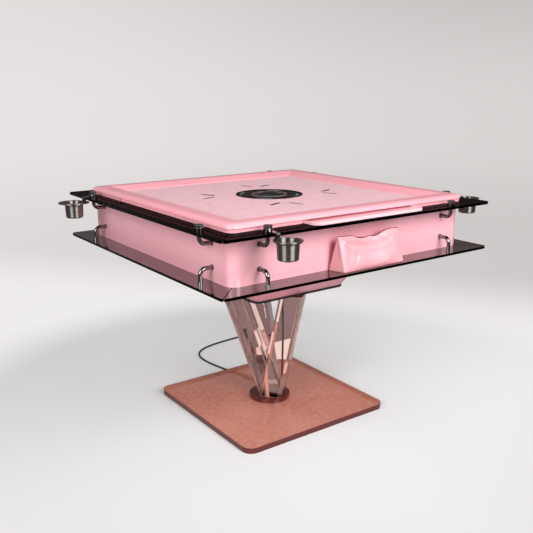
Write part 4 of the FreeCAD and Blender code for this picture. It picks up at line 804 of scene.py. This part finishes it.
class Paper(Look):
    """The sheet's look, with nodes that work on the place and on the kind of ray."""

    def __init__(self):
        super().__init__("studio_paper", linear(233, 229, 228), 0.75)
        self.shader.inputs["Specular IOR Level"].default_value = 0.2
        self.position = self.node("ShaderNodeNewGeometry").outputs["Position"]

    def vector(self, operation, source, other=None):
        made = self.node("ShaderNodeVectorMath", operation=operation)
        self.link(source, made.inputs[0])
        if other is not None:
            made.inputs[1].default_value = other
        return made

    def number(self, operation, first, second):
        made = self.node("ShaderNodeMath", operation=operation)
        self.link(first, made.inputs[0])
        self.link(second, made.inputs[1])
        return made.outputs[0]

    def product(self, first, second):
        return self.number("MULTIPLY", first, second)

    def greater(self, first, second):
        return self.number("MAXIMUM", first, second)

    def eased_ramp(self, value, low, high):
        made = self.node("ShaderNodeMapRange", interpolation_type="SMOOTHSTEP")
        made.inputs["From Min"].default_value = low
        made.inputs["From Max"].default_value = high
        self.link(value, made.inputs["Value"])
        return made.outputs["Result"]

    def reading(self, direction, low, high):
        """0 to 1 as the place goes from low to high along a direction."""
        return self.eased_ramp(self.vector("DOT_PRODUCT", self.position, direction).outputs["Value"], low, high)

    def blend(self, share, first, second):
        mix = self.node("ShaderNodeMix", data_type="RGBA")
        for socket, value in ((MIX_FIRST, first), (MIX_SECOND, second)):
            if isinstance(value, tuple):
                mix.inputs[socket].default_value = value
            else:
                self.link(value, mix.inputs[socket])
        self.link(share, mix.inputs[MIX_SHARE])
        return mix.outputs[MIX_RESULT]

    def lit_tone(self):
        """The floor's colour, painted darker towards the key and fill lamps, which light it more: painted shade that
        offsets their light.
        """
        by_key = self.reading(Vector((0, 1, 0)), -1.3, -0.1)
        by_fill = self.reading(Vector((1, 0, 0)), -1.1, 0.0)
        return self.blend(by_key, self.blend(by_fill, linear(176, 175, 175), linear(190, 189, 189)),
                          self.blend(by_fill, linear(208, 207, 207), linear(240, 239, 240)))

    def seen_tone(self):
        """What the camera sees: a pale foreground, a greyer distance, a pale foot of the wall, a grey top."""
        lateral = self.reading(RIGHTWARD, -2.6, 2.6)
        tone = self.blend(self.reading(FORWARD + RIGHTWARD * 0.25, 0.95, 2.15), linear(240, 237, 237),
                          self.blend(lateral, linear(223, 218, 218), linear(203, 199, 198)))
        tone = self.blend(self.reading(UPWARD, -0.1, 0.6), tone,
                          self.blend(lateral, linear(232, 227, 227), linear(216, 212, 211)))
        return self.blend(self.reading(UPWARD, 0.9, 2.3), tone,
                          self.blend(lateral, linear(224, 219, 218), linear(194, 190, 189)))

    def through_tone(self, square):
        """The near floor as clear pieces show it, a painted glow: the plate, then a pale square for the rug, then a
        darker floor.
        """
        tone = self.blend(self.ramp(square, 0.285, 0.295), linear(176, 146, 138), linear(248, 232, 224))
        return self.blend(self.ramp(square, 0.490, 0.500), tone, linear(132, 108, 108))


def studio_paper():
    look = Paper()
    rays = look.node("ShaderNodeLightPath").outputs
    through = rays["Is Transmission Ray"]
    mirrored = look.product(rays["Is Glossy Ray"], look.ramp(through, first=1.0, last=0.0))
    level_place = look.vector("MULTIPLY", look.position, (1, 1, 0)).outputs[0]
    distance = look.vector("LENGTH", level_place).outputs["Value"]
    sides = look.node("ShaderNodeSeparateXYZ")
    look.link(look.vector("ABSOLUTE", level_place).outputs[0], sides.inputs[0])
    square = look.greater(sides.outputs["X"], sides.outputs["Y"])

    near_through = look.product(through, look.ramp(distance, 1.6, 2.4, 1.0, 0.0))
    far_through = look.product(through, look.ramp(distance, 1.6, 2.4))
    glow = look.node("ShaderNodeEmission")
    look.link(look.blend(near_through, look.seen_tone(), look.through_tone(square)), glow.inputs["Color"])
    strength = look.number("MINIMUM", look.ramp(mirrored, first=1.0, last=MIRRORED_SHARE),
                        look.ramp(far_through, first=1.0, last=SEEN_SHARE))
    look.link(strength, glow.inputs["Strength"])

    dimmed = look.product(look.ramp(distance, 0.55, 0.80), mirrored)
    look.link(look.blend(dimmed, look.lit_tone(), linear(120, 114, 112)), look.shader.inputs["Base Color"])

    # Near the table the sheet is lit and takes the shadow, though just beyond the plate about a quarter of its glow
    # is mixed in, painted light that lifts that shadow; further out its glow takes over
    glowing = look.greater(look.eased_ramp(distance, 0.80, 1.45), look.ramp(square, 0.29, 0.36, 0.0, 0.28))
    share = look.product(look.greater(rays["Is Camera Ray"], mirrored), glowing)
    mixed = look.node("ShaderNodeMixShader")
    look.link(look.greater(share, through), mixed.inputs[0])
    look.link(look.shader.outputs[0], mixed.inputs[1])
    look.link(glow.outputs[0], mixed.inputs[2])
    look.link(mixed.outputs[0], look.tree.nodes["Material Output"].inputs["Surface"])
    return look.material


def make_stage():
    """A round floor whose edge curves up into a wall."""
    profile = [(1.0, 0.0), (2.2, 0.0), (FLOOR_RADIUS, 0.0)]
    for step in range(1, CURVE_STEPS + 1):
        turn = math.pi / 2 * step / CURVE_STEPS
        profile.append((FLOOR_RADIUS + CURVE_RADIUS * math.sin(turn), CURVE_RADIUS * (1 - math.cos(turn))))
    profile.append((FLOOR_RADIUS + CURVE_RADIUS, WALL_TOP))
    turns = [2 * math.pi * i / STAGE_SIDES for i in range(STAGE_SIDES)]
    verts = [(0, 0, 0)] + [(r * math.cos(turn), r * math.sin(turn), z) for r, z in profile for turn in turns]
    faces = [(0, 1 + i, 1 + (i + 1) % STAGE_SIDES) for i in range(STAGE_SIDES)]
    for ring in range(len(profile) - 1):
        base = 1 + ring * STAGE_SIDES
        for i in range(STAGE_SIDES):
            j = (i + 1) % STAGE_SIDES
            faces.append((base + i, base + STAGE_SIDES + i, base + STAGE_SIDES + j, base + j))
    mesh = bpy.data.meshes.new("studio")
    mesh.from_pydata(verts, [], faces)
    mesh.polygons.foreach_set("use_smooth", [True] * len(mesh.polygons))
    mesh.materials.append(studio_paper())
    studio = bpy.data.objects.new("studio", mesh)
    studio.visible_shadow = False
    scene.collection.objects.link(studio)


make_stage()

# Lights: three square softboxes, hidden from the camera and from rays through clear pieces

AIM = Vector((0, 0, 0.6))


def add_light(name, place, size, power):
    lamp = bpy.data.lights.new(name, "AREA")
    lamp.energy = power
    lamp.size = size
    piece = bpy.data.objects.new(name, lamp)
    piece.location = place
    piece.rotation_euler = (AIM - Vector(place)).to_track_quat("-Z", "Y").to_euler()
    piece.visible_camera = False
    piece.visible_transmission = False
    scene.collection.objects.link(piece)


add_light("key_softbox", (0.2, -2.7, 2.0), 1.7, 92)
add_light("top_softbox", (0.3, 0.2, 3.2), 2.8, 10)
add_light("fill_softbox", (-2.6, -1.0, 1.8), 1.6, 54)
world = bpy.data.worlds.new("studio_air")
world.use_nodes = True
air = world.node_tree.nodes["Background"].inputs
air["Color"].default_value = (0.96, 0.955, 0.95, 1)
air["Strength"].default_value = 0.45
scene.world = world
